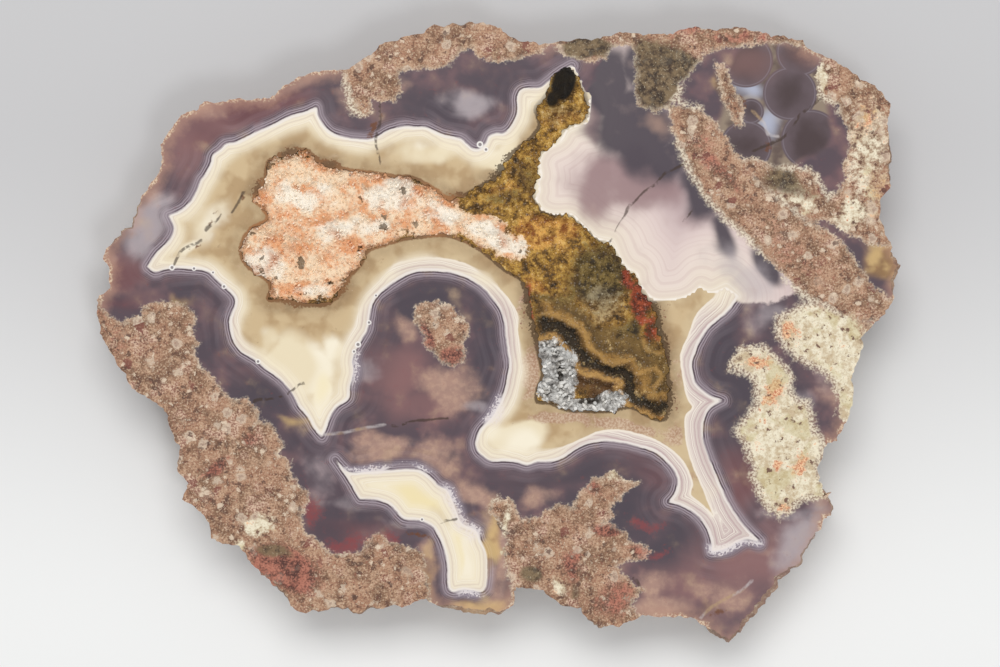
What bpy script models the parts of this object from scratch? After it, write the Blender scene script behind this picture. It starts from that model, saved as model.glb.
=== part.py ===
"""Agate slice: banded chalcedony and host rock, sawn flat, with an open pocket lined by one crystal crust."""
import math
import random

import bmesh
import bpy
from mathutils import Vector, noise
from mathutils.bvhtree import BVHTree
from mathutils.geometry import delaunay_2d_cdt

# Driving sizes, in metres
SLICE_WIDTH = 0.140
THICKNESS = 0.012
FIT_GAP = 0.0003

# Rind: the broken rock and chalcedony around the edge
RING_SPACING = 0.0018
RIND_LEVELS = (0.0, 0.12, 0.31, 0.52, 0.73, 0.90, 1.0)
RIND_BITE = 0.0028
RIND_LUMP_SIZE = 0.0065
BACK_EDGE_CHIP = 0.0007
TANGENT_REACH = 3

# Pocket: depth below the polished face
POCKET_WALL = 0.0009
POCKET_SLOPE = 0.95
POCKET_DEPTH = 0.0052
PIT_DEPTH = 0.0078
FLOOR_SPACING = 0.0042
FLOOR_EDGE_ROOM = 0.0011
CUTTER_CLEAR = 0.0015

# Crust: six-sided crystals on a base that lines the pocket
CRYSTAL_SPACING = 0.0021
CRYSTAL_JITTER = 0.10
CRYSTAL_EDGE_ROOM = 0.00055
CRUST_LIFT = 0.00048
CRUST_RIM_SPACING = 0.0019
CRUST_BELOW_FACE = 0.00045
CRUST_MIN_THICKNESS = 0.0007

# The view that the outlines were read from: its scale and centre, in its own pixels
OUTLINE_LEFT_PX = 95
OUTLINE_RIGHT_PX = 905
CENTRE_PX = (500, 333)
METRES_PER_PX = SLICE_WIDTH / (OUTLINE_RIGHT_PX - OUTLINE_LEFT_PX)

# Outline of the whole slice, clockwise from the left tip
OUTLINE_PX = [
    (95, 299), (107, 287), (109, 267), (102, 258), (107, 245), (118, 229), (128, 224), (134, 204), (145, 191),
    (153, 179), (161, 164), (160, 144), (172, 126), (181, 114), (193, 109), (204, 101), (232, 98), (252, 97),
    (270, 97), (280, 87), (301, 74), (325, 69), (349, 68), (365, 56), (379, 44), (400, 36), (421, 33), (434, 23),
    (449, 21), (478, 20), (501, 27), (519, 39), (548, 43), (570, 38), (600, 35), (617, 31), (640, 33), (670, 33),
    (689, 25), (717, 29), (740, 24), (760, 31), (790, 35), (803, 39), (808, 48), (831, 58), (857, 71), (861, 78),
    (878, 86), (891, 103), (888, 129), (894, 158), (891, 188), (881, 198), (882, 217), (889, 239), (905, 264),
    (900, 281), (895, 297), (886, 314), (872, 326), (863, 336), (864, 348), (856, 365), (852, 411), (842, 430),
    (838, 441), (829, 443), (819, 465), (821, 480), (826, 496), (833, 491), (838, 509), (836, 516), (824, 518),
    (819, 537), (806, 566), (783, 584), (783, 591), (770, 607), (749, 630), (729, 646), (715, 640), (706, 626),
    (681, 617), (640, 617), (619, 627), (598, 630), (583, 617), (580, 609), (560, 605), (543, 591), (516, 587),
    (514, 605), (499, 616), (480, 619), (442, 611), (426, 600), (415, 602), (402, 608), (394, 605), (374, 612),
    (356, 617), (334, 610), (306, 613), (291, 610), (286, 604), (282, 594), (270, 588), (266, 578), (256, 571),
    (244, 554), (239, 546), (222, 544), (211, 538), (210, 529), (200, 512), (182, 499), (187, 483), (176, 471),
    (179, 447), (173, 438), (168, 422), (158, 405), (146, 398), (132, 388), (119, 368), (104, 341), (99, 333),
    (97, 315),
]

# Places where the rind slopes out past the polished face: centre, reach along the edge, width of rind that shows
SLOPING_RIND_PX = [
    ((770, 604), 62, 13), ((812, 556), 34, 8), ((724, 644), 26, 9), ((470, 616), 46, 10), ((832, 505), 16, 7),
    ((896, 272), 30, 10), ((355, 614), 40, 6), ((128, 226), 44, 6), ((278, 590), 26, 5), ((880, 160), 40, 5),
    ((600, 630), 24, 5), ((460, 22), 40, 4),
]

# Outline of the open pocket, clockwise from its left shoulder
POCKET_PX = [
    (253, 199), (262, 183), (267, 161), (281, 155), (291, 152), (307, 148), (322, 162), (344, 167), (373, 171),
    (393, 174), (414, 176), (435, 187), (449, 198), (459, 196), (475, 187), (497, 175), (511, 152), (528, 138),
    (538, 124), (534, 108), (545, 93), (551, 75), (566, 64), (577, 72), (586, 92), (589, 112), (579, 124),
    (566, 130), (557, 143), (541, 155), (540, 175), (535, 195), (545, 212), (572, 215), (587, 228), (603, 240),
    (615, 246), (624, 265), (638, 275), (645, 293), (655, 306), (658, 328), (667, 350), (669, 378), (670, 400),
    (664, 420), (648, 417), (630, 408), (612, 412), (587, 412), (568, 411), (549, 404), (536, 402), (536, 388),
    (541, 374), (537, 352), (536, 338), (533, 322), (528, 300), (521, 281), (503, 270), (488, 257), (472, 246),
    (450, 237), (430, 237), (405, 240), (384, 246), (368, 252), (362, 265), (350, 277), (341, 291), (328, 304),
    (304, 305), (284, 301), (267, 300), (269, 285), (255, 273), (244, 264), (239, 247), (249, 228), (266, 218),
    (260, 207),
]

# Zones of the crust: centre, half-lengths along and across, turn in degrees, rise of the points, depth of the base
QUARTZ_ZONES_PX = [
    ((318, 228), (78, 70), 20, 0.0021, 0.0026), ((420, 215), (62, 34), 12, 0.0015, 0.0028),
    ((495, 235), (46, 24), 35, 0.0012, 0.0027),
]
LEDGE_ZONES_PX = [
    ((580, 250), (60, 80), 30, 0.0006, 0.0013), ((610, 345), (66, 62), 40, 0.0008, 0.0012),
    ((530, 160), (52, 50), -40, 0.0007, 0.0016),
]
DRUSE_ZONES_PX = [((562, 375), (30, 42), 15, 0.0011, 0.0034), ((600, 402), (34, 16), 0, 0.0009, 0.0030)]
PIT_PX = ((563, 88), (17, 30), 12)
PIT_FLOOR_PX = [(566, 80), (563, 94)]
LEDGE_RUN = 0.0052
LEDGE_RISE = 0.0011
CRYSTAL_SEED = 41
RIND_SEED = Vector((3.1, 7.4, 1.9))


def place(pixel):
    """A position on the face, in metres from the middle of the slice."""
    x = (pixel[0] - CENTRE_PX[0]) * METRES_PER_PX
    y = (CENTRE_PX[1] - pixel[1]) * METRES_PER_PX
    return Vector((x, y))


def closed_ring(corners, spacing):
    """The corners with even steps between them, so that every corner stays."""
    ring = []
    for here, after in zip(corners, corners[1:] + corners[:1]):
        steps = max(1, round((after - here).length / spacing))
        ring.extend(here.lerp(after, step / steps) for step in range(steps))
    return ring


def outward_normals(ring, reach):
    """Side directions of a clockwise ring, taken over a few neighbours."""
    count = len(ring)
    normals = []
    for i in range(count):
        along = ring[(i + reach) % count] - ring[i - reach]
        normals.append(Vector((-along.y, along.x)).normalized())
    return normals


def edge_distance(point, ring):
    """Shortest way from a point to a closed ring."""
    best = math.inf
    for a, b in zip(ring, ring[1:] + ring[:1]):
        side = b - a
        share = max(0.0, min(1.0, (point - a).dot(side) / side.length_squared))
        best = min(best, (point - a - side * share).length)
    return best


def inside(point, ring):
    """Whether a point lies within a closed ring."""
    odd = False
    for a, b in zip(ring, ring[1:] + ring[:1]):
        if (a.y > point.y) != (b.y > point.y):
            if point.x < a.x + (point.y - a.y) * (b.x - a.x) / (b.y - a.y):
                odd = not odd
    return odd


def zone_strength(point, centre, halves, turn):
    """One in the middle of an oval zone, falling to nothing at its edge."""
    offset = point - place(centre)
    angle = math.radians(turn)
    along = (offset.x * math.cos(angle) - offset.y * math.sin(angle)) / (halves[0] * METRES_PER_PX)
    across = (offset.x * math.sin(angle) + offset.y * math.cos(angle)) / (halves[1] * METRES_PER_PX)
    return max(0.0, 1.0 - (along * along + across * across))


def new_object(name, bm, material):
    """A mesh object from finished bmesh data, with one material."""
    bmesh.ops.triangulate(bm, faces=[face for face in bm.faces if len(face.verts) > 3])
    bmesh.ops.recalc_face_normals(bm, faces=bm.faces)
    mesh = bpy.data.meshes.new(name)
    bm.to_mesh(mesh)
    bm.free()
    if material:
        mesh.materials.append(material)
    thing = bpy.data.objects.new(name, mesh)
    bpy.context.scene.collection.objects.link(thing)
    return thing


def stone_material(name, colour, roughness):
    """A plain stone finish."""
    material = bpy.data.materials.new(name)
    material.use_nodes = True
    shader = material.node_tree.nodes["Principled BSDF"]
    shader.inputs["Base Color"].default_value = (*colour, 1.0)
    shader.inputs["Roughness"].default_value = roughness
    shader.inputs["Metallic"].default_value = 0.0
    return material


def rind_show(point):
    """How far the rind reaches past the polished face near a point of the edge."""
    show = 0.0
    for centre, reach, width in SLOPING_RIND_PX:
        near = 1.0 - (point - place(centre)).length / (reach * METRES_PER_PX)
        if near > 0.0:
            show = max(show, width * METRES_PER_PX * min(1.0, near * 2.0))
    return show


def rind_inset(point, level):
    """How far the side lies inside the outline at a level from 0, the back, to 1, the face."""
    spot = Vector((point.x, point.y, level * THICKNESS)) / RIND_LUMP_SIZE + RIND_SEED
    lumps = 0.5 + 0.5 * noise.fractal(spot, 0.8, 2.1, 3)
    bite = RIND_BITE * max(0.0, min(1.0, lumps))
    show = rind_show(point)
    if level == 1.0:
        return show
    sloping = min(1.0, show / (4 * METRES_PER_PX))
    bite = bite * (1.0 - 0.8 * sloping) + show * 0.45 * sloping * level
    if level == 0.0:
        bite += BACK_EDGE_CHIP
    return bite


def crossing(a, b, c, d):
    """Whether two short straight runs cross."""
    def turn(p, q, r):
        return (q.x - p.x) * (r.y - p.y) - (q.y - p.y) * (r.x - p.x)
    return turn(a, b, c) * turn(a, b, d) < 0 and turn(c, d, a) * turn(c, d, b) < 0


def settled_level(ring, normals, insets):
    """One level of the side, with insets eased wherever the level would fold over itself."""
    count = len(ring)
    for _ in range(12):
        level = [p - n * u for p, n, u in zip(ring, normals, insets)]
        folded = set()
        for i in range(count):
            for step in range(2, 9):
                j = (i + step) % count
                if crossing(level[i], level[(i + 1) % count], level[j], level[(j + 1) % count]):
                    folded.update((i + k) % count for k in range(step + 2))
        if not folded:
            return level
        insets = [u * 0.5 if i in folded else u for i, u in enumerate(insets)]
    return level


def make_slice(material):
    """The slice before its pocket is opened: two flat sawn faces and a rough rind between them."""
    ring = closed_ring([place(pixel) for pixel in OUTLINE_PX], RING_SPACING)
    normals = outward_normals(ring, TANGENT_REACH)
    bm = bmesh.new()
    rows = []
    least = [min(rind_inset(point, share) for share in RIND_LEVELS) for point in ring]
    for share in RIND_LEVELS:
        insets = [rind_inset(point, share) - start for point, start in zip(ring, least)]
        level = settled_level(ring, normals, insets)
        rows.append([bm.verts.new((p.x, p.y, share * THICKNESS)) for p in level])
    count = len(ring)
    for lower, upper in zip(rows, rows[1:]):
        for i in range(count):
            after = (i + 1) % count
            bm.faces.new((lower[i], lower[after], upper[after], upper[i]))
    bm.faces.new(rows[0])
    bm.faces.new(rows[-1])
    return new_object("agate_slice", bm, material)


def pocket_depth(point, ring):
    """Depth of the bare pocket below the face: a short wall, then a slope to a floor, deeper in the black pit."""
    pit = zone_strength(point, *PIT_PX)
    floor = POCKET_DEPTH + (PIT_DEPTH - POCKET_DEPTH) * min(1.0, 2.0 * pit)
    slope = POCKET_SLOPE + 1.3 * min(1.0, 2.0 * pit)
    return min(floor, POCKET_WALL + slope * edge_distance(point, ring))


def honeycomb(ring, spacing, edge_room):
    """Centres and corners of a honeycomb within a ring, each with whether it is a centre."""
    left = min(p.x for p in ring)
    right = max(p.x for p in ring)
    low = min(p.y for p in ring)
    high = max(p.y for p in ring)
    corner_reach = spacing / math.sqrt(3)
    found = []
    row = 0
    y = low
    while y <= high:
        x = left + (spacing * 0.5 if row % 2 else 0.0)
        while x <= right:
            centre = Vector((x, y))
            upper = Vector((x, y + corner_reach))
            lower = Vector((x, y - corner_reach))
            for point, is_centre in ((centre, True), (upper, False), (lower, False)):
                if inside(point, ring) and edge_distance(point, ring) > edge_room:
                    found.append((point, is_centre))
            x += spacing
        y += spacing * math.sqrt(3) * 0.5
        row += 1
    return found


def sheet_faces(ring, inner):
    """Triangles over a ring and the points inside it, without new points."""
    points = list(ring) + list(inner)
    edges = [(i, (i + 1) % len(ring)) for i in range(len(ring))]
    flat, _, faces, origins, _, _ = delaunay_2d_cdt(points, edges, [], 1, 1e-7)
    order = [source[0] for source in origins]
    return flat, faces, order


def add_sheet(bm, flat, faces, heights):
    """The vertices of one surface of a sheet, and its faces."""
    verts = [bm.verts.new((p.x, p.y, z)) for p, z in zip(flat, heights)]
    for face in faces:
        bm.faces.new([verts[i] for i in face])
    return verts


def closed_between(bm, low_ring, high_ring):
    """The wall between two rings of equal count."""
    count = len(low_ring)
    for i in range(count):
        after = (i + 1) % count
        bm.faces.new((low_ring[i], low_ring[after], high_ring[after], high_ring[i]))


def floor_points(pocket):
    """Points of the pocket floor, with two in the deep pit."""
    points = [point for point, is_centre in honeycomb(pocket, FLOOR_SPACING, FLOOR_EDGE_ROOM) if is_centre]
    deep = [place(pixel) for pixel in PIT_FLOOR_PX]
    near = FLOOR_SPACING * 0.5
    return [point for point in points if all((point - low).length > near for low in deep)] + deep


def make_pocket_cutter(pocket):
    """The empty space of the pocket, reaching past the polished face."""
    flat, faces, order = sheet_faces(pocket, floor_points(pocket))
    bm = bmesh.new()
    floor = [THICKNESS - pocket_depth(p, pocket) if source >= len(pocket) else THICKNESS - POCKET_WALL
             for p, source in zip(flat, order)]
    low = add_sheet(bm, flat, faces, floor)
    high = add_sheet(bm, flat, faces, [THICKNESS + CUTTER_CLEAR] * len(flat))
    place_of = {source: i for i, source in enumerate(order)}
    rim = [place_of[i] for i in range(len(pocket))]
    closed_between(bm, [low[i] for i in rim], [high[i] for i in rim])
    cutter = new_object("pocket_space", bm, None)
    cutter.hide_render = True
    cutter.display_type = "WIRE"
    return cutter


def crust_surface(point, is_centre, draw):
    """Depth of the crust's crystals below the polished face."""
    best_share = 0.0
    depth = 0.0024
    rise = 0.0010
    ledges = 0.0
    for zones, is_ledge in ((QUARTZ_ZONES_PX, False), (LEDGE_ZONES_PX, True), (DRUSE_ZONES_PX, False)):
        for centre, halves, turn, zone_rise, zone_depth in zones:
            share = zone_strength(point, centre, halves, turn)
            if share > best_share:
                best_share = share
                depth = zone_depth
                rise = zone_rise
                ledges = 1.0 if is_ledge else 0.0
    spot = Vector((point.x, point.y, 0.0)) / 0.012
    depth += 0.0007 * noise.noise(spot)
    if ledges:
        run = (point.x * 0.55 + point.y * 0.83) / LEDGE_RUN + 0.9 * noise.noise(spot * 1.4)
        depth += LEDGE_RISE * (run - math.floor(run)) * min(1.0, 2.5 * best_share)
    if is_centre:
        depth -= rise * draw.uniform(0.55, 1.15)
    pit = zone_strength(point, *PIT_PX)
    return depth + (PIT_DEPTH - POCKET_DEPTH + 0.0012) * min(1.0, 2.0 * pit)


def crust_underside(pocket, rim):
    """The lower surface of the crust, which follows the pocket floor a small gap above it."""
    flat, faces, order = sheet_faces(rim, floor_points(pocket))
    heights = []
    for point, source in zip(flat, order):
        depth = POCKET_WALL - FIT_GAP * 0.2
        if source >= len(rim):
            depth = pocket_depth(point, pocket) - CRUST_LIFT
        heights.append(THICKNESS - depth)
    return flat, faces, order, heights


def make_crust(pocket, material):
    """One closed crust: crystals above, and below them the shape of the pocket floor."""
    draw = random.Random(CRYSTAL_SEED)
    normals = outward_normals(pocket, 1)
    rim = [p - n * FIT_GAP * 1.5 for p, n in zip(pocket, normals)]
    base_flat, base_faces, base_order, bottoms = crust_underside(pocket, rim)
    underside = BVHTree.FromPolygons([(p.x, p.y, z) for p, z in zip(base_flat, bottoms)], base_faces)
    jitter = CRYSTAL_SPACING * CRYSTAL_JITTER
    inner = []
    centres = []
    for point, is_centre in honeycomb(rim, CRYSTAL_SPACING, CRYSTAL_EDGE_ROOM):
        moved = point + Vector((draw.uniform(-jitter, jitter), draw.uniform(-jitter, jitter)))
        inner.append(moved)
        centres.append(is_centre)
    flat, faces, order = sheet_faces(rim, inner)
    tops = []
    for point, source in zip(flat, order):
        if source < len(rim):
            tops.append(THICKNESS - CRUST_BELOW_FACE)
            continue
        depth = crust_surface(point, centres[source - len(rim)], draw)
        below = underside.ray_cast(Vector((point.x, point.y, -1.0)), Vector((0.0, 0.0, 1.0)))[0]
        lowest = below.z + CRUST_MIN_THICKNESS
        tops.append(min(THICKNESS - CRUST_BELOW_FACE, max(lowest, THICKNESS - depth)))
    bm = bmesh.new()
    high = add_sheet(bm, flat, faces, tops)
    low = add_sheet(bm, base_flat, base_faces, bottoms)
    high_of = {source: i for i, source in enumerate(order)}
    low_of = {source: i for i, source in enumerate(base_order)}
    closed_between(bm, [low[low_of[i]] for i in range(len(rim))], [high[high_of[i]] for i in range(len(rim))])
    return new_object("crystal_crust", bm, material)


def clear_scene():
    """Removes whatever the scene holds at first."""
    for thing in list(bpy.data.objects):
        bpy.data.objects.remove(thing)


def main():
    clear_scene()
    agate = stone_material("polished_agate", (0.30, 0.22, 0.20), 0.28)
    crystal = stone_material("pocket_crystals", (0.52, 0.33, 0.20), 0.45)
    pocket = closed_ring([place(pixel) for pixel in POCKET_PX], CRUST_RIM_SPACING)
    slice_body = make_slice(agate)
    cutter = make_pocket_cutter(pocket)
    opening = slice_body.modifiers.new("open_pocket", "BOOLEAN")
    opening.operation = "DIFFERENCE"
    opening.solver = "EXACT"
    opening.object = cutter
    make_crust(pocket, crystal)


main()
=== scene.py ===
"""An agate slice: polished banded face, rough host-rock rind, sawn back and a pocket lined with crystals."""

import math
from types import SimpleNamespace

import bmesh
import bpy
import numpy as np
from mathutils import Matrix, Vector, noise
from mathutils.geometry import delaunay_2d_cdt


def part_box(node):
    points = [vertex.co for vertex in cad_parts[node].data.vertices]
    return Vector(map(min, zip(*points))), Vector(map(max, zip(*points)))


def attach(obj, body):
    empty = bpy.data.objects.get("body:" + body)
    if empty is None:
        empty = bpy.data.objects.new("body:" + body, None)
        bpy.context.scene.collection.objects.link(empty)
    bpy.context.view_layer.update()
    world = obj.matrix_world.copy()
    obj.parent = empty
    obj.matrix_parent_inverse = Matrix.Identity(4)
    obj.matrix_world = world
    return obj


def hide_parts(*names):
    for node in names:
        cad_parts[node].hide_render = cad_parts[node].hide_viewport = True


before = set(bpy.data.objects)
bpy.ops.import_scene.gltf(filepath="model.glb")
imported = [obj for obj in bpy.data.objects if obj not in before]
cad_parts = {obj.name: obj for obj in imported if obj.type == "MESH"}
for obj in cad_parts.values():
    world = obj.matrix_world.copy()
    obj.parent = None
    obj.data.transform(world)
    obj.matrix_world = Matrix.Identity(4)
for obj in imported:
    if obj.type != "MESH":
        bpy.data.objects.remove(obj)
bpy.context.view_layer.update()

# Sizes from the frame, in metres
slice_low, slice_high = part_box("agate_slice")
SLICE_WIDTH = slice_high[0] - slice_low[0]
THICKNESS = slice_high[2] - slice_low[2]

# Height of a row of evenly spread points, for a spacing of one
HEX_ROW = 0.866

# Spacing of the meshes, in metres
FACE_STEP = 0.00050
BACK_STEP = 0.0016
EDGE_STEP = 0.00052
RIND_ROWS = 20
CRUST_STEP = 0.00036
POCKET_STEP = 0.0015

# Rind shape, as in the solids
RIND_BITE = 0.0028
RIND_LUMP_SIZE = 0.0065
BACK_EDGE_CHIP = 0.0007
RIND_SEED = Vector((3.1, 7.4, 1.9))
GRIT_DEPTH = 0.00055
NORMAL_REACH = 0.0052

# Pocket shape, as in the solids
POCKET_WALL = 0.0009
POCKET_SLOPE = 0.95
POCKET_DEPTH = 0.0052
CRUST_GAP = 0.00005

# The view that the outlines were read from: its scale and centre, in its own pixels
OUTLINE_LEFT_PX = 95
OUTLINE_RIGHT_PX = 905
CENTRE_PX = (500, 333)
METRES_PER_PX = SLICE_WIDTH / (OUTLINE_RIGHT_PX - OUTLINE_LEFT_PX)
MM_PER_PX = METRES_PER_PX * 1000

# Floor, in metres: half its width, and a hair below the slice
FLOOR_HALF = 0.9
FLOOR_HEIGHT = -0.0004

# Camera and light
VIEW_WIDTH_PX = 1000
LENS_MM = 100
SENSOR_MM = 36

OUTLINE_PX = [
    (95, 299), (107, 287), (109, 267), (102, 258), (107, 245), (118, 229), (128, 224), (134, 204), (145, 191),
    (153, 179), (161, 164), (160, 144), (172, 126), (181, 114), (193, 109), (204, 101), (232, 98), (252, 97),
    (270, 97), (280, 87), (301, 74), (325, 69), (349, 68), (365, 56), (379, 44), (400, 36), (421, 33), (434, 23),
    (449, 21), (478, 20), (501, 27), (519, 39), (548, 43), (570, 38), (600, 35), (617, 31), (640, 33), (670, 33),
    (689, 25), (717, 29), (740, 24), (760, 31), (790, 35), (803, 39), (808, 48), (831, 58), (857, 71), (861, 78),
    (878, 86), (891, 103), (888, 129), (894, 158), (891, 188), (881, 198), (882, 217), (889, 239), (905, 264),
    (900, 281), (895, 297), (886, 314), (872, 326), (863, 336), (864, 348), (856, 365), (852, 411), (842, 430),
    (838, 441), (829, 443), (819, 465), (821, 480), (826, 496), (833, 491), (838, 509), (836, 516), (824, 518),
    (819, 537), (806, 566), (783, 584), (783, 591), (770, 607), (749, 630), (729, 646), (715, 640), (706, 626),
    (681, 617), (640, 617), (619, 627), (598, 630), (583, 617), (580, 609), (560, 605), (543, 591), (516, 587),
    (514, 605), (499, 616), (480, 619), (442, 611), (426, 600), (415, 602), (402, 608), (394, 605), (374, 612),
    (356, 617), (334, 610), (306, 613), (291, 610), (286, 604), (282, 594), (270, 588), (266, 578), (256, 571),
    (244, 554), (239, 546), (222, 544), (211, 538), (210, 529), (200, 512), (182, 499), (187, 483), (176, 471),
    (179, 447), (173, 438), (168, 422), (158, 405), (146, 398), (132, 388), (119, 368), (104, 341), (99, 333),
    (97, 315),
]

SLOPING_RIND_PX = [
    ((770, 604), 62, 13), ((812, 556), 34, 8), ((724, 644), 26, 9), ((470, 616), 46, 10), ((832, 505), 16, 7),
    ((896, 272), 30, 10), ((355, 614), 40, 6), ((128, 226), 44, 6), ((278, 590), 26, 5), ((880, 160), 40, 5),
    ((600, 630), 24, 5), ((460, 22), 40, 4),
]

POCKET_PX = [
    (253, 199), (262, 183), (267, 161), (281, 155), (291, 152), (307, 148), (322, 162), (344, 167), (373, 171),
    (393, 174), (414, 176), (435, 187), (449, 198), (459, 196), (475, 187), (497, 175), (511, 152), (528, 138),
    (538, 124), (534, 108), (545, 93), (551, 75), (566, 64), (577, 72), (586, 92), (589, 112), (579, 124),
    (566, 130), (557, 143), (541, 155), (540, 175), (535, 195), (545, 212), (572, 215), (587, 228), (603, 240),
    (615, 246), (624, 265), (638, 275), (645, 293), (655, 306), (658, 328), (667, 350), (669, 378), (670, 400),
    (664, 420), (648, 417), (630, 408), (612, 412), (587, 412), (568, 411), (549, 404), (536, 402), (536, 388),
    (541, 374), (537, 352), (536, 338), (533, 322), (528, 300), (521, 281), (503, 270), (488, 257), (472, 246),
    (450, 237), (430, 237), (405, 240), (384, 246), (368, 252), (362, 265), (350, 277), (341, 291), (328, 304),
    (304, 305), (284, 301), (267, 300), (269, 285), (255, 273), (244, 264), (239, 247), (249, 228), (266, 218),
    (260, 207),
]

# Where the chalcedony meets the pale band, from the right arm round to the black crack; a doubled point is a cusp
CONTACT_PX = [
    (738, 296), (734, 302), (727, 311), (716, 320), (708, 327), (702, 336), (697, 345), (694, 353), (691, 363),
    (694, 380), (701, 389), (711, 396), (722, 400), (722, 400), (711, 406), (705, 414), (702, 426), (703, 441),
    (708, 456), (713, 469), (719, 483), (727, 500), (736, 515), (747, 529), (759, 541), (759, 541), (748, 538),
    (738, 541), (730, 546), (722, 549), (712, 551), (712, 551), (712, 542), (710, 534), (706, 525), (699, 516),
    (690, 509), (680, 504), (669, 501), (669, 501), (675, 494), (678, 484), (677, 475), (670, 464), (661, 455),
    (651, 449), (640, 446), (628, 443), (615, 441), (604, 440), (594, 441), (583, 444), (574, 449), (562, 457),
    (549, 461), (538, 461), (527, 464), (516, 461), (505, 460), (491, 460), (484, 456), (478, 450), (476, 443),
    (479, 432), (484, 425), (491, 418), (499, 405), (505, 391), (508, 377), (510, 364), (508, 350), (506, 335),
    (505, 322), (501, 309), (493, 298), (482, 286), (468, 277), (453, 272), (438, 270), (422, 270), (411, 272),
    (399, 278), (386, 287), (376, 296), (371, 306), (369, 318), (367, 329), (360, 341), (354, 351), (352, 361),
    (353, 372), (349, 386), (348, 398), (338, 405), (331, 414), (327, 424), (322, 436), (322, 436), (315, 428),
    (308, 416), (299, 405), (292, 392), (282, 380), (275, 374), (266, 368), (258, 361), (249, 355), (242, 351),
    (237, 345), (233, 338), (231, 329), (230, 321), (232, 313), (236, 303), (234, 295), (227, 288), (217, 279),
    (210, 272), (203, 269), (192, 268), (180, 267), (165, 268), (155, 271), (148, 266), (148, 266), (156, 254),
    (162, 248), (168, 242), (173, 234), (174, 226), (169, 215), (169, 215), (177, 212), (184, 208), (191, 201),
    (195, 194), (198, 188), (201, 180), (205, 175), (209, 168), (212, 161), (213, 155), (221, 149), (226, 144),
    (236, 142), (247, 137), (258, 131), (268, 127), (277, 123), (288, 117), (298, 114), (308, 111), (316, 107),
    (316, 107), (319, 118), (325, 127), (332, 133), (341, 136), (350, 138), (360, 139), (370, 139), (379, 136),
    (387, 131), (396, 128), (405, 126), (415, 127), (425, 127), (434, 131), (444, 135), (454, 137), (462, 139),
    (467, 144), (474, 149), (481, 148), (486, 143), (489, 136), (496, 133), (504, 133), (511, 127), (515, 120),
    (518, 112), (518, 103), (518, 96), (521, 90), (528, 88), (535, 88), (541, 87), (550, 80), (560, 72),
    (572, 65),
]

# Scalloped edge of the lilac dome that hangs into the pocket
LOBE_PX = [
    (590, 96), (589, 110), (587, 121), (579, 124), (567, 129), (563, 137), (557, 143), (547, 148), (541, 156),
    (539, 164), (541, 175), (538, 182), (539, 190), (536, 197), (540, 207), (547, 212), (557, 214), (571, 214),
    (579, 221), (587, 229), (595, 237), (604, 240), (611, 242), (615, 248), (619, 257), (624, 265), (630, 270),
    (637, 274), (640, 284), (646, 292), (653, 298), (663, 300), (680, 298), (690, 294), (700, 287), (700, 287),
    (706, 291), (714, 292), (726, 288), (726, 288), (732, 292), (738, 296),
]

# How the dome runs on behind the host rock, from the end of its scalloped edge back to its start
DOME_BACK_PX = [
    (752, 302), (776, 302), (798, 290), (800, 268), (745, 212), (700, 160), (672, 118), (655, 80), (640, 42),
    (612, 42), (600, 62),
]

# Where the pale band ends and the quartz begins
QUARTZ_PX = [
    (166, 258), (176, 249), (181, 240), (182, 228), (180, 221), (190, 216), (197, 209), (203, 200), (208, 190),
    (214, 180), (219, 171), (224, 163), (235, 153), (249, 146), (263, 140), (277, 135), (289, 130), (300, 127),
    (309, 125), (319, 134), (327, 140), (340, 145), (352, 149), (366, 150), (378, 146), (388, 142), (398, 139),
    (411, 137), (425, 138), (437, 142), (450, 147), (460, 152), (470, 158), (480, 160), (491, 155), (497, 146),
    (503, 144), (512, 140), (520, 131), (527, 121), (531, 108), (545, 92), (566, 70), (590, 96), (587, 121),
    (567, 129), (541, 156), (536, 197), (571, 214), (604, 240), (640, 284), (653, 298), (680, 298), (700, 287),
    (716, 292), (712, 298), (703, 306), (695, 316), (688, 335), (683, 346), (680, 357), (683, 380), (687, 398),
    (692, 407), (685, 416), (685, 434), (688, 451), (694, 469), (702, 487), (709, 505), (713, 515), (706, 507),
    (699, 501), (691, 494), (693, 484), (690, 473), (683, 460), (674, 451), (663, 443), (651, 437), (638, 433),
    (625, 430), (611, 429), (598, 431), (588, 435), (575, 441), (560, 447), (545, 450), (527, 451), (510, 449),
    (495, 449), (488, 443), (489, 433), (494, 426), (502, 420), (510, 412), (516, 402), (520, 389), (524, 372),
    (522, 360), (520, 344), (518, 329), (518, 314), (510, 300), (499, 287), (486, 276), (472, 266), (457, 260),
    (438, 257), (422, 256), (407, 259), (394, 264), (382, 276), (371, 287), (363, 299), (357, 314), (354, 325),
    (346, 339), (341, 350), (340, 362), (342, 372), (339, 384), (336, 394), (328, 400), (322, 409), (319, 418),
    (315, 408), (306, 398), (300, 386), (293, 378), (284, 370), (275, 364), (266, 357), (257, 350), (248, 344),
    (242, 337), (240, 328), (241, 318), (245, 309), (245, 300), (241, 290), (233, 282), (226, 275), (219, 268),
    (208, 262), (195, 260), (180, 259),
]

# Cream tongue, an island of the pale band at the lower left
TONGUE_PX = [
    (335, 459), (335, 459), (348, 472), (362, 472), (376, 471), (392, 470), (407, 469), (419, 470), (430, 477),
    (438, 485), (447, 490), (452, 500), (457, 512), (461, 522), (470, 527), (477, 531), (480, 540), (485, 549),
    (487, 560), (487, 577), (485, 588), (480, 591), (473, 590), (462, 589), (454, 591), (449, 588), (448, 577),
    (448, 566), (446, 555), (443, 544), (439, 535), (433, 526), (424, 521), (415, 519), (404, 518), (397, 511),
    (389, 503), (377, 499), (360, 498), (360, 498), (352, 484), (345, 473),
]

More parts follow.
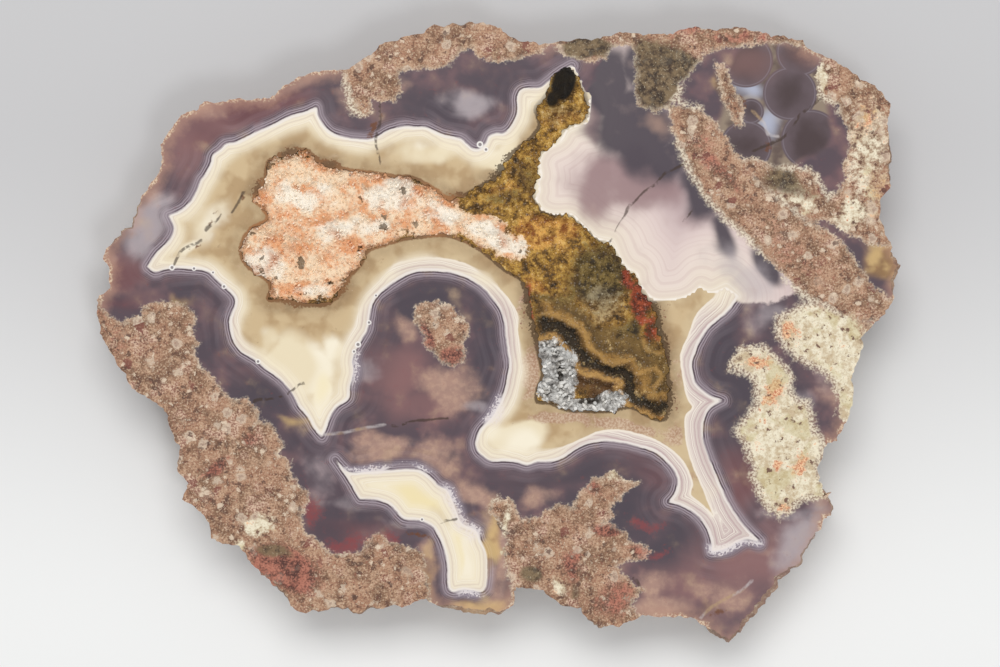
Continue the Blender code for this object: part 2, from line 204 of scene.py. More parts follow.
# Host rock that shows in the cut, as closed outlines; where one reaches the edge it runs on past it
ROCK_PX = {
    "left": [
        (92, 296), (103, 299), (101, 306), (110, 315), (122, 322), (132, 317), (141, 313), (142, 306), (159, 300),
        (182, 303), (191, 309), (197, 319), (193, 326), (194, 336), (200, 343), (194, 350), (200, 364), (215, 378),
        (225, 393), (233, 399), (248, 397), (252, 405), (260, 412), (258, 420), (269, 421), (275, 430), (283, 441),
        (279, 453), (290, 460), (292, 476), (302, 487), (309, 491), (308, 504), (302, 518), (306, 533), (320, 540),
        (326, 549), (335, 553), (350, 551), (362, 551), (366, 541), (378, 531), (390, 541), (405, 546), (419, 549),
        (424, 554), (427, 563), (424, 570), (429, 582), (430, 592), (428, 602), (420, 640), (260, 640), (60, 420),
    ],
    "bottom": [
        (512, 604), (512, 590), (508, 575), (505, 560), (502, 548), (508, 540), (503, 529), (496, 519), (486, 507),
        (491, 501), (500, 497), (508, 497), (514, 503), (518, 512), (522, 518), (540, 516), (545, 509), (555, 505),
        (566, 503), (572, 508), (574, 500), (587, 485), (591, 478), (600, 478), (606, 472), (614, 470), (620, 474),
        (625, 480), (641, 481), (636, 485), (622, 494), (620, 500), (613, 504), (611, 512), (614, 517), (606, 521),
        (618, 526), (626, 532), (632, 541), (645, 546), (652, 552), (645, 558), (628, 561), (618, 565), (622, 573),
        (638, 585), (643, 590), (633, 601), (631, 606), (637, 613), (642, 620), (640, 660), (520, 660),
    ],
    "top_left": [
        (341, 60), (345, 80), (348, 92), (350, 105), (356, 112), (365, 117), (372, 110), (372, 100), (380, 100),
        (395, 101), (402, 90), (398, 72), (405, 70), (430, 68), (450, 65), (460, 50), (470, 48), (480, 58),
        (500, 62), (520, 58), (530, 55), (545, 50), (548, 20), (440, 0), (330, 40),
    ],
    "top": [
        (552, 20), (556, 50), (568, 57), (590, 62), (606, 58), (612, 48), (620, 43), (634, 48), (636, 70),
        (634, 95), (640, 106), (655, 112), (668, 106), (676, 98), (681, 84), (690, 74), (700, 62), (706, 53),
        (720, 48), (745, 46), (770, 43), (790, 43), (806, 47), (818, 55), (835, 62), (850, 40), (700, 5),
    ],
    "band": [
        (668, 106), (680, 104), (700, 108), (715, 121), (735, 150), (765, 185), (800, 215), (820, 226), (840, 238),
        (857, 260), (870, 282), (890, 298), (912, 300), (890, 320), (850, 322), (830, 308), (800, 292), (775, 266),
        (745, 235), (725, 218), (705, 195), (690, 170), (672, 130),
    ],
    "rim": [
        (822, 60), (815, 76), (822, 95), (838, 105), (846, 125), (850, 150), (842, 165), (846, 178), (838, 190),
        (822, 200), (820, 215), (845, 232), (870, 244), (920, 250), (920, 90), (880, 60), (835, 40),
    ],
    "low_rim": [
        (778, 318), (778, 335), (790, 350), (800, 358), (815, 366), (826, 372), (836, 385), (840, 400), (838, 415),
        (850, 425), (870, 420), (885, 330), (850, 316), (815, 300),
    ],
    "blade": [(714, 60), (724, 63), (735, 88), (744, 108), (743, 128), (733, 122), (722, 98)],
    "nook": [
        (738, 162), (752, 156), (770, 164), (790, 168), (812, 168), (824, 190), (840, 214), (812, 224), (790, 208),
        (762, 186),
    ],
    "heart": [
        (415, 306), (422, 302), (436, 300), (449, 304), (459, 312), (470, 325), (468, 333), (463, 343), (468, 352),
        (463, 360), (453, 368), (443, 362), (432, 352), (424, 343), (422, 331), (415, 322), (413, 314),
    ],
    "island": [
        (731, 368), (732, 359), (738, 349), (749, 346), (762, 346), (770, 352), (779, 361), (786, 368), (791, 377),
        (790, 389), (795, 400), (808, 403), (811, 415), (814, 430), (822, 440), (824, 451), (817, 466), (821, 480),
        (826, 497), (812, 497), (798, 501), (788, 512), (779, 516), (770, 510), (762, 500), (757, 484), (752, 475),
        (756, 468), (748, 455), (747, 444), (736, 431), (742, 424), (748, 416), (757, 403), (757, 396), (756, 385),
        (753, 376), (743, 371),
    ],
}

# Rims of the mossy ledges in the pocket
LEDGES_PX = [
    [(529, 318), (534, 332), (541, 338), (549, 338), (556, 336), (562, 341), (566, 350), (571, 357), (577, 364),
     (583, 371), (592, 376), (603, 378), (613, 380), (621, 382)],
    [(621, 382), (617, 389), (620, 397), (626, 404), (633, 409), (642, 414), (652, 418), (660, 420), (667, 416)],
    [(629, 318), (634, 327), (641, 334), (645, 344), (651, 350), (659, 353), (666, 352)],
    [(640, 374), (648, 369), (658, 370), (662, 376), (656, 382), (653, 388), (656, 394), (650, 397)],
    [(538, 312), (547, 312), (557, 315), (571, 322), (583, 330), (588, 340), (596, 351), (606, 359), (618, 362),
     (632, 358)],
]
LEDGE_BACK_PX = [(676, 400), (676, 340), (650, 292), (560, 280), (520, 300)]

# Soft clouds in the stone: centre, half-lengths, turn in degrees, strength
CLOUDS_PX = {
    "slate": [
        ((430, 300), (60, 24), 0, 1.0), ((385, 335), (22, 36), 0, 0.6), ((486, 345), (18, 60), 0, 1.1),
        ((484, 400), (22, 22), 0, 1.0), ((262, 398), (34, 28), -40, 1.1), ((215, 335), (22, 34), -30, 0.6),
        ((350, 412), (26, 12), 0, 0.9), ((370, 512), (60, 18), 0, 0.8), ((570, 475), (90, 14), 10, 0.9),
        ((612, 505), (46, 40), 0, 1.1), ((672, 540), (34, 26), 0, 1.0), ((722, 350), (24, 60), 0, 1.2),
        ((744, 395), (30, 60), 0, 1.2), ((790, 385), (14, 26), -20, 0.8), ((430, 105), (40, 22), 0, 0.9),
        ((330, 100), (16, 26), 0, 0.7), ((500, 84), (36, 30), 0, 0.8), ((330, 535), (26, 14), 0, 0.8),
        ((295, 440), (18, 18), 0, 0.8), ((115, 292), (14, 8), 0, 0.4), ((196, 292), (20, 14), -20, 0.8),
        ((650, 490), (20, 20), 0, 0.6),
    ],
    "mauve": [
        ((235, 112), (70, 30), 10, 1.0), ((190, 145), (30, 34), 0, 0.9), ((400, 375), (34, 30), 0, 1.0),
        ((420, 405), (60, 14), 0, 0.7), ((640, 462), (40, 20), -20, 0.5), ((740, 485), (24, 50), -20, 0.8),
        ((750, 562), (60, 38), 0, 1.0), ((690, 585), (60, 30), 0, 0.8), ((125, 265), (24, 20), 0, 0.7),
        ((540, 480), (40, 12), 0, 0.4), ((345, 540), (30, 14), 0, 0.6), ((252, 378), (20, 12), -30, 0.5),
        ((850, 180), (20, 20), 0, 0.4), ((750, 62), (26, 18), 0, 1.0), ((800, 58), (20, 14), 0, 0.8),
    ],
    "wine": [
        ((262, 106), (56, 18), 10, 1.0), ((205, 132), (24, 22), 40, 0.5), ((125, 272), (14, 12), 0, 0.6),
        ((120, 300), (16, 10), 0, 0.5), ((742, 478), (14, 42), -18, 0.7), ((650, 470), (36, 12), -30, 0.4),
        ((345, 530), (30, 10), 0, 0.5),
    ],
    "peach": [
        ((380, 446), (36, 18), 0, 1.0), ((438, 455), (26, 30), 0, 0.7), ((452, 388), (32, 26), -30, 1.0),
        ((406, 326), (12, 20), 0, 0.7), ((475, 497), (46, 14), -20, 1.0), ((540, 498), (24, 12), 0, 0.7),
        ((725, 592), (30, 18), 0, 0.7), ((655, 583), (26, 18), 0, 0.9), ((660, 606), (36, 12), 0, 1.0),
        ((497, 560), (18, 50), 0, 1.1), ((432, 572), (10, 40), 0, 0.9), ((462, 610), (50, 12), 0, 0.8),
        ((110, 262), (10, 24), 0, 0.6), ((400, 82), (18, 14), 0, 0.6),
        ((652, 120), (18, 13), 0, 0.8), ((345, 102), (12, 14), 0, 0.7), ((150, 200), (14, 16), 0, 0.6),
        ((205, 112), (26, 10), 10, 0.6), ((840, 385), (26, 22), 0, 0.6), ((295, 84), (40, 6), 14, 0.6),
        ((765, 545), (26, 10), 0, 0.4),
    ],
    "haze": [
        ((806, 545), (30, 46), -30, 1.0), ((150, 224), (36, 26), 45, 1.2), ((362, 372), (22, 12), 0, 0.6),
        ((468, 102), (28, 15), 0, 1.1), ((345, 500), (34, 10), -10, 0.5), ((422, 527), (34, 5), -5, 0.9),
        ((325, 470), (30, 26), -40, 0.5), ((772, 124), (9, 16), -15, 1.0), ((750, 88), (16, 9), 0, 1.0),
        ((790, 512), (40, 10), 0, 0.6), ((752, 284), (30, 24), -30, 0.9), ((805, 400), (14, 14), 0, 0.6),
        ((482, 410), (22, 8), -25, 0.7), ((728, 258), (22, 24), -35, 0.8), ((410, 60), (20, 10), 0, 0.3),
        ((830, 370), (20, 20), 0, 0.4), ((766, 315), (20, 16), 0, 0.8),
    ],
    "cream": [
        ((203, 222), (36, 24), 52, 0.6), ((440, 152), (74, 13), 5, 0.7), ((502, 155), (30, 18), 30, 1.0),
        ((300, 364), (46, 32), -30, 1.2), ((322, 398), (16, 30), 10, 1.1), ((512, 434), (40, 16), 0, 1.2),
        ((186, 246), (18, 8), 45, 0.8), ((420, 490), (80, 30), 0, 1.0), ((465, 555), (30, 60), 0, 1.0),
        ((262, 340), (12, 20), 0, 0.7), ((330, 350), (16, 20), 0, 0.8), ((345, 154), (24, 4), 0, 0.3),
    ],
    "gold": [
        ((320, 388), (14, 22), 0, 0.5), ((420, 500), (50, 12), -25, 0.8), ((456, 550), (8, 40), -8, 0.7),
        ((491, 545), (8, 46), -5, 1.0), ((478, 607), (36, 11), 0, 1.1), ((433, 575), (6, 32), 0, 0.9),
        ((882, 262), (26, 22), 0, 1.4), ((184, 304), (9, 8), 0, 0.8), ((724, 92), (8, 26), 30, 0.8),
        ((290, 422), (14, 5), 0, 0.6), ((700, 610), (14, 5), 30, 0.4),
    ],
    "rust": [
        ((192, 246), (18, 2.4), 38, 0.8), ((214, 220), (10, 2.6), 55, 0.8), ((238, 200), (9, 3), 60, 0.8),
        ((764, 148), (10, 5), 30, 0.8), ((376, 118), (18, 2.4), 71, 0.8), ((738, 100), (16, 4), -60, 0.7),
        ((712, 612), (10, 4), 40, 0.8), ((415, 537), (24, 3), -15, 0.8), ((508, 530), (3, 20), 0, 0.8),
        ((740, 122), (14, 7), 0, 0.5),
    ],
    "pinkband": [
        ((690, 400), (40, 140), 0, 1.3), ((640, 440), (90, 30), -12, 1.2), ((720, 525), (40, 40), 35, 1.3),
        ((508, 330), (20, 70), 0, 0.9), ((440, 262), (80, 15), 0, 0.55), ((585, 438), (60, 12), 0, 0.8),
        ((232, 320), (16, 50), 20, 0.4), ((366, 310), (14, 40), -25, 0.5),
    ],
    "toothed": [
        ((488, 407), (24, 22), 30, 1.0), ((400, 464), (64, 8), 0, 1.0), ((452, 505), (14, 34), 20, 1.0),
        ((735, 547), (34, 12), 0, 1.0), ((358, 368), (14, 26), 0, 0.7), ((474, 530), (14, 20), 0, 0.8),
        ((470, 592), (24, 8), 0, 0.8),
    ],
    "dome_mauve": [
        ((612, 182), (42, 40), -20, 1.2), ((640, 176), (46, 26), -25, 1.1), ((660, 185), (30, 20), -30, 0.9),
        ((594, 112), (8, 30), 0, 1.0),
        ((700, 215), (24, 14), 0, 0.5),
    ],
    "dome_slate": [
        ((634, 122), (42, 40), 0, 1.5), ((640, 148), (34, 26), -20, 1.2), ((672, 158), (30, 28), 0, 1.1),
        ((702, 196), (20, 34), 35, 1.1),
        ((724, 234), (13, 22), 35, 1.0), ((768, 266), (22, 14), -45, 1.5), ((608, 86), (24, 44), 0, 1.4),
        ((640, 70), (30, 30), 0, 1.0),
    ],
    "fringe": [
        ((770, 430), (70, 100), 0, 1.2), ((716, 196), (80, 24), -52, 1.2), ((810, 350), (50, 50), 0, 1.1),
        ((345, 105), (26, 22), 0, 0.9), ((830, 110), (18, 60), 0, 0.7), ((500, 510), (16, 30), 0, 0.6),
        ((290, 450), (20, 30), 0, 0.4), ((690, 92), (30, 20), 0, 0.7), ((795, 310), (50, 36), 0, 1.1),
        ((800, 190), (40, 40), 0, 0.8),
    ],
    "rosy": [
        ((560, 420), (34, 8), 0, 1.3), ((624, 424), (44, 8), -8, 1.1), ((534, 372), (8, 34), 0, 1.1),
        ((672, 432), (14, 18), 0, 0.9), ((242, 265), (6, 18), 0, 0.4), ((524, 292), (8, 26), -20, 0.6),
        ((676, 372), (8, 40), 0, 0.5), ((690, 480), (10, 26), -20, 0.5),
    ],
    "crimson": [
        ((650, 300), (10, 24), -20, 0.62), ((666, 350), (8, 28), 0, 0.6), ((674, 402), (8, 26), 0, 0.55),
        ((656, 432), (20, 9), 0, 0.5), ((527, 310), (7, 34), 0, 0.58), ((560, 428), (26, 5), 0, 0.5),
        ((540, 350), (5, 20), 0, 0.5), ((312, 508), (9, 22), 10, 1.3), ((348, 543), (24, 8), 0, 1.3),
        ((388, 540), (16, 7), -10, 1.1), ((644, 521), (18, 5), 0, 1.0), ((658, 548), (14, 5), 0, 0.9),
        ((668, 312), (6, 30), -20, 0.6),
    ],
    "stained": [
        ((600, 240), (20, 20), 0, 0.6), ((655, 330), (20, 50), 0, 1.0), ((250, 185), (18, 11), 0, 1.8),
        ((288, 158), (14, 7), 20, 1.4),
        ((325, 163), (16, 9), 0, 1.1), ((530, 300), (14, 60), 0, 0.8), ((460, 196), (20, 9), 0, 0.9),
        ((502, 168), (24, 26), 0, 1.0), ((670, 400), (16, 24), 0, 0.6), ((300, 306), (40, 6), 0, 0.6),
        ((345, 290), (20, 20), 0, 0.5),
    ],
    "domes": [((776, 104), (50, 66), 0, 2.0)],
}

# Colour patches of the rock: centre, half-lengths, turn in degrees, strength
ROCK_CLOUDS_PX = {
    "rock_red": [
        ((342, 522), (40, 20), -30, 1.2), ((285, 568), (40, 24), -20, 1.2), ((424, 335), (9, 22), 20, 1.2),
        ((455, 355), (14, 12), 0, 1.2), ((615, 523), (22, 7), 0, 1.5), ((655, 550), (20, 12), 0, 1.2),
        ((590, 490), (14, 10), 0, 0.7), ((250, 440), (18, 10), 0, 0.6), ((745, 34), (60, 8), 0, 0.5),
        ((218, 465), (14, 12), 0, 0.8), ((570, 565), (12, 20), 0, 0.7), ((690, 30), (30, 8), 0, 0.6),
        ((120, 345), (16, 26), 0, 0.4), ((845, 325), (20, 12), 0, 0.7), ((720, 170), (40, 8), -48, 0.6),
        ((636, 88), (5, 16), 0, 1.0), ((612, 600), (26, 22), 0, 0.6), ((320, 500), (10, 24), 0, 1.0),
        ((105, 310), (12, 18), 0, 0.5), ((876, 150), (14, 70), 0, 0.32), ((790, 250), (60, 16), -45, 0.4),
        ((700, 140), (24, 20), -45, 0.4), ((868, 300), (16, 16), 0, 0.3),
    ],
    "rock_cream": [
        ((785, 440), (50, 90), 0, 1.8), ((815, 350), (56, 46), -20, 1.4), ((868, 150), (30, 90), 0, 0.5),
        ((760, 355), (34, 20), 0, 1.4), ((728, 235), (60, 8), -52, 0.9), ((850, 215), (24, 24), 0, 0.6),
        ((500, 540), (8, 50), -10, 0.7), ((260, 522), (18, 12), 0, 0.6), ((240, 545), (12, 10), 0, 0.6),
        ((845, 395), (14, 40), 0, 1.1), ((625, 475), (20, 8), 0, 0.6), ((820, 80), (14, 30), 0, 0.8),
        ((668, 545), (8, 8), 0, 0.6), ((555, 587), (12, 8), 0, 0.6), ((796, 200), (40, 22), -30, 0.5),
        ((730, 95), (14, 36), 30, 0.3),
        ((350, 108), (14, 10), 0, 0.5),
    ],
    "rock_dark": [
        ((662, 74), (34, 36), 0, 1.5), ((586, 46), (28, 14), 0, 1.4), ((275, 552), (26, 12), -10, 0.7),
        ((380, 88), (16, 10), 0, 0.3), ((530, 575), (12, 10), 0, 0.9), ((575, 585), (10, 14), 0, 0.6),
        ((785, 180), (34, 18), -30, 0.8), ((700, 88), (20, 12), 0, 0.6),
    ],
    "rock_orange": [
        ((755, 358), (13, 9), 0, 1.2), ((772, 392), (11, 13), 0, 1.2), ((790, 334), (16, 9), -20, 1.2),
        ((782, 502), (9, 9), 0, 1.1), ((866, 118), (12, 26), 0, 0.7), ((878, 190), (10, 22), 0, 0.6),
        ((802, 462), (10, 8), 0, 0.9), ((860, 88), (16, 9), 0, 0.7), ((778, 468), (6, 8), 0, 0.9),
    ],
}

# Rounded domes of chalcedony at the upper right: centre and radius
DOMES_PX = [((790, 93), 27), ((751, 111), 13), ((811, 139), 30), ((746, 60), 27), ((800, 52), 24), ((746, 146), 26)]

CRACKS_PX = [
    [(610, 241), (617, 226), (625, 214), (640, 195), (655, 182), (672, 170), (690, 160)],
    [(687, 222), (694, 211), (702, 200)],
    [(255, 405), (270, 398), (286, 392), (302, 386)],
    [(380, 100), (381, 120), (379, 140), (380, 165)],
    [(145, 340), (155, 352), (165, 366), (180, 385)],
    [(392, 424), (410, 421), (430, 419), (447, 418)],
    [(502, 522), (505, 532), (508, 544)],
    [(632, 578), (638, 585), (641, 594)],
    [(439, 524), (450, 520), (459, 518)],
    [(755, 150), (770, 144), (781, 139), (790, 128), (800, 117), (815, 104), (831, 93)],
    [(170, 264), (182, 254), (192, 247), (201, 239)],
    [(206, 230), (212, 221), (219, 212)],
    [(232, 212), (238, 202), (243, 192)],
]
HEALED_CRACKS_PX = [
    [(325, 434), (345, 432), (362, 428), (385, 424)],
    [(752, 110), (764, 122), (768, 134), (778, 136)],
    [(700, 618), (712, 606), (726, 598), (742, 590), (752, 580)],
]
BUBBLES_PX = [
    ((172, 267), 3.0), ((194, 268), 2.4), ((224, 286), 2.6), ((258, 361), 2.6), ((480, 144), 3.4),
    ((486, 149), 2.6),
    ((358, 344), 3.2), ((369, 322), 2.4), ((376, 295), 2.0), ((354, 351), 2.2), ((213, 272), 2.0),
    ((422, 519), 2.2),
]


# Outlines and distances

def place(pixel):
    """A position on the face, in metres from the middle of the slice."""
    return ((pixel[0] - CENTRE_PX[0]) * METRES_PER_PX, (CENTRE_PX[1] - pixel[1]) * METRES_PER_PX)


def placed(pixels):
    """A row of positions as an array, in metres."""
    return np.array([place(pixel) for pixel in pixels])


def smooth_line(points, closed, step):
    """A smooth curve through given points; a doubled point stays a sharp corner."""
    count = len(points)
    curve = []
    for i in range(count if closed else count - 1):
        p1 = points[i]
        p2 = points[(i + 1) % count]
        p0 = points[i - 1] if closed or i else p1
        p3 = points[(i + 2) % count] if closed or i + 2 < count else p2
        steps = max(1, int(np.linalg.norm(p2 - p1) / step))
        for share in np.arange(steps) / steps:
            bend = (2 * p0 - 5 * p1 + 4 * p2 - p3) * share ** 2 + (3 * p1 - p0 - 3 * p2 + p3) * share ** 3
            curve.append(0.5 * (2 * p1 + (p2 - p0) * share + bend))
    if not closed:
        curve.append(points[-1])
    return np.array(curve)


def line_distance(spots, line, closed):
    """Shortest way from each spot to a line of short straight runs."""
    starts = line if closed else line[:-1]
    ends = np.roll(line, -1, axis=0) if closed else line[1:]
    best = np.full(len(spots), np.inf)
    for a, b in zip(starts, ends):
        side = b - a
        length = float(side @ side)
        if length == 0.0:
            continue
        offset = spots - a
        share = np.clip((offset @ side) / length, 0.0, 1.0)
        offset -= share[:, None] * side
        np.minimum(best, np.einsum("ij,ij->i", offset, offset), out=best)
    return np.sqrt(best)


def within(spots, ring):
    """Whether each spot lies inside a closed ring."""
    odd = np.zeros(len(spots), dtype=bool)
    for a, b in zip(ring, np.roll(ring, -1, axis=0)):
        if a[1] == b[1]:
            continue
        across = (spots[:, 1] < a[1]) != (spots[:, 1] < b[1])
        odd ^= across & (spots[:, 0] < a[0] + (spots[:, 1] - a[1]) * (b[0] - a[0]) / (b[1] - a[1]))
    return odd


def signed_distance(spots, ring):
    """Distance to a closed ring, positive inside it."""
    return np.where(within(spots, ring), 1.0, -1.0) * line_distance(spots, ring, True)


def swirl(spots, size, reach, seed):
    """The spots, each moved a little by a soft noise, so that clouds don't look drawn."""
    moved = np.empty_like(spots)
    for i, (x, y) in enumerate(spots):
        shift = noise.noise_vector(Vector((x / size, y / size, seed)))
        moved[i] = (x + shift.x * reach, y + shift.y * reach)
    return moved


def cloud(spots, table):
    """The strength of a set of soft oval clouds at each spot, from 0 to 1."""
    total = np.zeros(len(spots))
    for centre, halves, turn, strength in table:
        offset = spots - place(centre)
        angle = math.radians(turn)
        along = (offset[:, 0] * math.cos(angle) + offset[:, 1] * math.sin(angle)) / (halves[0] * METRES_PER_PX)
        across = (offset[:, 1] * math.cos(angle) - offset[:, 0] * math.sin(angle)) / (halves[1] * METRES_PER_PX)
        total = np.maximum(total, strength * np.exp(-1.1 * (along ** 2 + across ** 2) ** 1.3))
    return np.clip(total, 0.0, 1.0)


def soft_noise(spots, size, seed, octaves):
    """A soft noise from about 0 to 1 at each spot."""
    return np.array([0.5 + 0.55 * noise.fractal(Vector((x / size, y / size, seed)), 0.9, 2.0, octaves)
                     for x, y in spots])


# Start of mathutils' own random numbers, so that every run gives the same stone
NOISE_SEED = 11

# Curves of the cut face, in metres
CURVE_STEP = 0.00045
POCKET_CURVE_STEP = 0.0005
TONGUE_BAND = 0.0021
contact_line = smooth_line(placed(CONTACT_PX), False, CURVE_STEP)
lobe_line = smooth_line(placed(LOBE_PX), False, CURVE_STEP)
cavity_ring = np.concatenate([contact_line, lobe_line])
dome_ring = np.concatenate([lobe_line, placed(DOME_BACK_PX)])
quartz_ring = smooth_line(placed(QUARTZ_PX), True, CURVE_STEP)
tongue_ring = smooth_line(placed(TONGUE_PX), True, CURVE_STEP)
pocket_ring = smooth_line(placed(POCKET_PX), True, POCKET_CURVE_STEP)


def stone_fields(spots):
    """Everything that the finishes need to know at each spot of the slice, distances in millimetres."""
    fields = {}
    in_cavity = np.where(within(spots, cavity_ring), 1.0, -1.0)
    contact = in_cavity * line_distance(spots, contact_line, False)
    tongue = signed_distance(spots, tongue_ring)
    quartz = signed_distance(spots, quartz_ring)
    lobe = line_distance(spots, lobe_line, False)
    in_tongue = tongue > contact
    fields["contact"] = np.where(in_tongue, tongue, contact) * 1000
    fields["quartz"] = np.where(in_tongue, np.minimum(tongue, 0.02) - TONGUE_BAND, quartz) * 1000
    fields["lobe"] = lobe * 1000
    fields["dome"] = signed_distance(spots, dome_ring) * 1000
    fields["edge"] = signed_distance(spots, placed(OUTLINE_PX)) * 1000
    fields["rock"] = np.max([signed_distance(spots, placed(ring)) for ring in ROCK_PX.values()], axis=0) * 1000
    fields["pocket"] = -signed_distance(spots, pocket_ring) * 1000
    bent = swirl(spots, 0.0040, 0.0011, 9.0)
    fields["crack"] = np.min([line_distance(bent, placed(line), False) for line in CRACKS_PX], axis=0) * 1000
    fields["healed"] = np.min([line_distance(spots, placed(line), False) for line in HEALED_CRACKS_PX],
                              axis=0) * 1000
    soft = swirl(spots, 0.006, 0.0022, 3.0)
    for name, table in {**CLOUDS_PX, **ROCK_CLOUDS_PX}.items():
        fields[name] = cloud(soft, table)
    fields["pink_zone"] = cloud(soft, CRUST_CLOUDS_PX["pink_zone"])
    fields["slow"] = soft_noise(spots, 0.011, 2.0, 2)
    fields["cloudy"] = soft_noise(spots, 0.0045, 7.0, 4)
    return fields


def set_fields(mesh, fields):
    """Stores fields on a mesh's points."""
    for name, values in fields.items():
        layer = mesh.attributes.new(name, "FLOAT", "POINT")
        layer.data.foreach_set("value", np.asarray(values, dtype=np.float32))


# Shader building

def linear(red, green, blue):
    """A colour given as it looks on screen, from 0 to 255, in the shader's own linear terms."""
    out = []
    for channel in (red, green, blue):
        level = channel / 255
        out.append(level / 12.92 if level <= 0.04045 else ((level + 0.055) / 1.055) ** 2.4)
    return (*out, 1.0)


def paint(colour):
    """A colour ready for a socket: a triple as seen on screen is turned into linear terms."""
    return linear(*colour) if isinstance(colour, tuple) and len(colour) == 3 else colour


def between(a, b, share):
    """A colour between two others."""
    return tuple(x + (y - x) * share for x, y in zip(a, b))


class Sketch:
    """Adds nodes to one tree, most calls giving back an output socket."""

    def __init__(self, tree):
        self.tree = tree

    def node(self, kind, inputs=None, **settings):
        """A node with its settings made and its inputs linked or set."""
        node = self.tree.nodes.new(kind)
        for key, value in settings.items():
            setattr(node, key, value)
        for key, value in (inputs or {}).items():
            self.feed(node.inputs[key], value)
        return node

    def feed(self, socket, value):
        """Links a socket to another one, or sets its constant."""
        if isinstance(value, bpy.types.NodeSocket):
            self.tree.links.new(value, socket)
        elif value is not None:
            socket.default_value = value

    def field(self, name):
        """A field stored on the mesh's points."""
        return self.node("ShaderNodeAttribute", attribute_name=name).outputs["Fac"]

    def spot(self):
        """The place on the piece, in millimetres."""
        where = self.node("ShaderNodeTexCoord").outputs["Object"]
        return self.node("ShaderNodeVectorMath", {0: where, "Scale": 1000.0}, operation="SCALE").outputs[0]

    def maths(self, operation, a, b=None):
        return self.node("ShaderNodeMath", {0: a, 1: b}, operation=operation).outputs[0]

    def sum(self, a, b):
        return self.maths("ADD", a, b)

    def less(self, a, b):
        return self.maths("SUBTRACT", a, b)

    def times(self, a, b):
        return self.maths("MULTIPLY", a, b)

    def over(self, a, b):
        return self.maths("DIVIDE", a, b)

    def largest(self, a, b):
        return self.maths("MAXIMUM", a, b)

    def size(self, a):
        return self.maths("ABSOLUTE", a)

    def rise(self, value, start, end, low=0.0, high=1.0):
        """A smooth step: low before start, high past end. Start may be the larger."""
        settings = {"Value": value, "From Min": start, "From Max": end, "To Min": low, "To Max": high}
        if not isinstance(start, bpy.types.NodeSocket) and start > end:
            settings.update({"From Min": end, "From Max": start, "To Min": high, "To Max": low})
        return self.node("ShaderNodeMapRange", settings, interpolation_type="SMOOTHSTEP").outputs["Result"]

    def zone(self, name, breakup, reach, start, end, top=1.0):
        """How much of a cloud field shows, its edge broken up by a noise."""
        return self.rise(self.sum(self.field(name), self.times(breakup, reach)), start, end, 0.0, top)

    def grain(self, where, scale, detail=3.0, rough=0.55):
        """Noise in space, from 0 to 1."""
        settings = {"Vector": where, "Scale": scale, "Detail": detail, "Roughness": rough}
        return self.node("ShaderNodeTexNoise", settings).outputs["Fac"]

    def layers(self, depth, scale, detail=2.0, rough=0.5):
        """Noise along one depth, which makes bands."""
        settings = {"W": depth, "Scale": scale, "Detail": detail, "Roughness": rough}
        return self.node("ShaderNodeTexNoise", settings, noise_dimensions="1D").outputs["Fac"]

    def cells(self, where, scale):
        """Cells with their distance and a colour each."""
        return self.node("ShaderNodeTexVoronoi", {"Vector": where, "Scale": scale}).outputs

    def channel(self, colour):
        """One number out of a colour."""
        return self.node("ShaderNodeSeparateColor", {"Color": colour}).outputs[0]

    def bump(self, height, strength, distance):
        """A normal from a height, with its strength and its reach in metres."""
        settings = {"Height": height, "Strength": strength, "Distance": distance}
        return self.node("ShaderNodeBump", settings).outputs["Normal"]

    def ramp(self, value, stops):
        """Colours set along a value from 0 to 1."""
        node = self.node("ShaderNodeValToRGB", {"Fac": value})
        band = node.color_ramp
        while len(band.elements) < len(stops):
            band.elements.new(0.5)
        for element, (position, colour) in zip(band.elements, stops):
            element.position = position
            element.color = paint(colour)
        return node.outputs["Color"]

    def mix(self, share, a, b):
        """Two colours mixed, all of the second where the share is 1."""
        return self.node("ShaderNodeMix", {0: share, 6: paint(a), 7: paint(b)}, data_type="RGBA").outputs[2]

    def shade(self, value, start, end, a, b):
        """One colour that turns into another as a value rises."""
        return self.mix(self.rise(value, start, end), a, b)


def new_group(name, inputs, outputs):
    """A node group with named sockets, a sketch to fill it, its input sockets and its sink."""
    group = bpy.data.node_groups.new(name, "ShaderNodeTree")
    for label, value in inputs.items():
        socket = group.interface.new_socket(label, in_out="INPUT", socket_type="NodeSocketFloat")
        socket.default_value = value
    for label, kind in outputs.items():
        group.interface.new_socket(label, in_out="OUTPUT", socket_type=kind)
    source = group.nodes.new("NodeGroupInput")
    sink = group.nodes.new("NodeGroupOutput")
    return group, Sketch(group), source.outputs, sink.inputs


def use_group(sketch, group, **values):
    """Places a group in a tree, with its own values."""
    named = {key.replace("_", " "): value for key, value in values.items()}
    node = sketch.node("ShaderNodeGroup", node_tree=group)
    for label, value in named.items():
        sketch.feed(node.inputs[label], value)
    return node.outputs


WHITE_LINE = linear(226, 219, 214)
PALE_BAND = linear(216, 205, 195)
PINK_LINE = linear(188, 164, 164)
CREAM = linear(237, 226, 201)
YELLOW_CREAM = linear(236, 220, 172)
BEIGE = linear(200, 176, 138)
TAN = linear(178, 150, 112)
PURPLE = linear(99, 80, 87)
SLATE = linear(73, 65, 74)
MAUVE = linear(134, 98, 98)
WINE = linear(104, 64, 68)
PINK_BAND = linear(204, 190, 184)
PEACH = linear(184, 150, 132)
HAZE = linear(178, 168, 172)
LILAC_LINE = linear(176, 163, 172)
DARK_LINE = linear(72, 58, 68)
GOLD = linear(208, 176, 118)
RUST = linear(104, 62, 34)


# Host rock

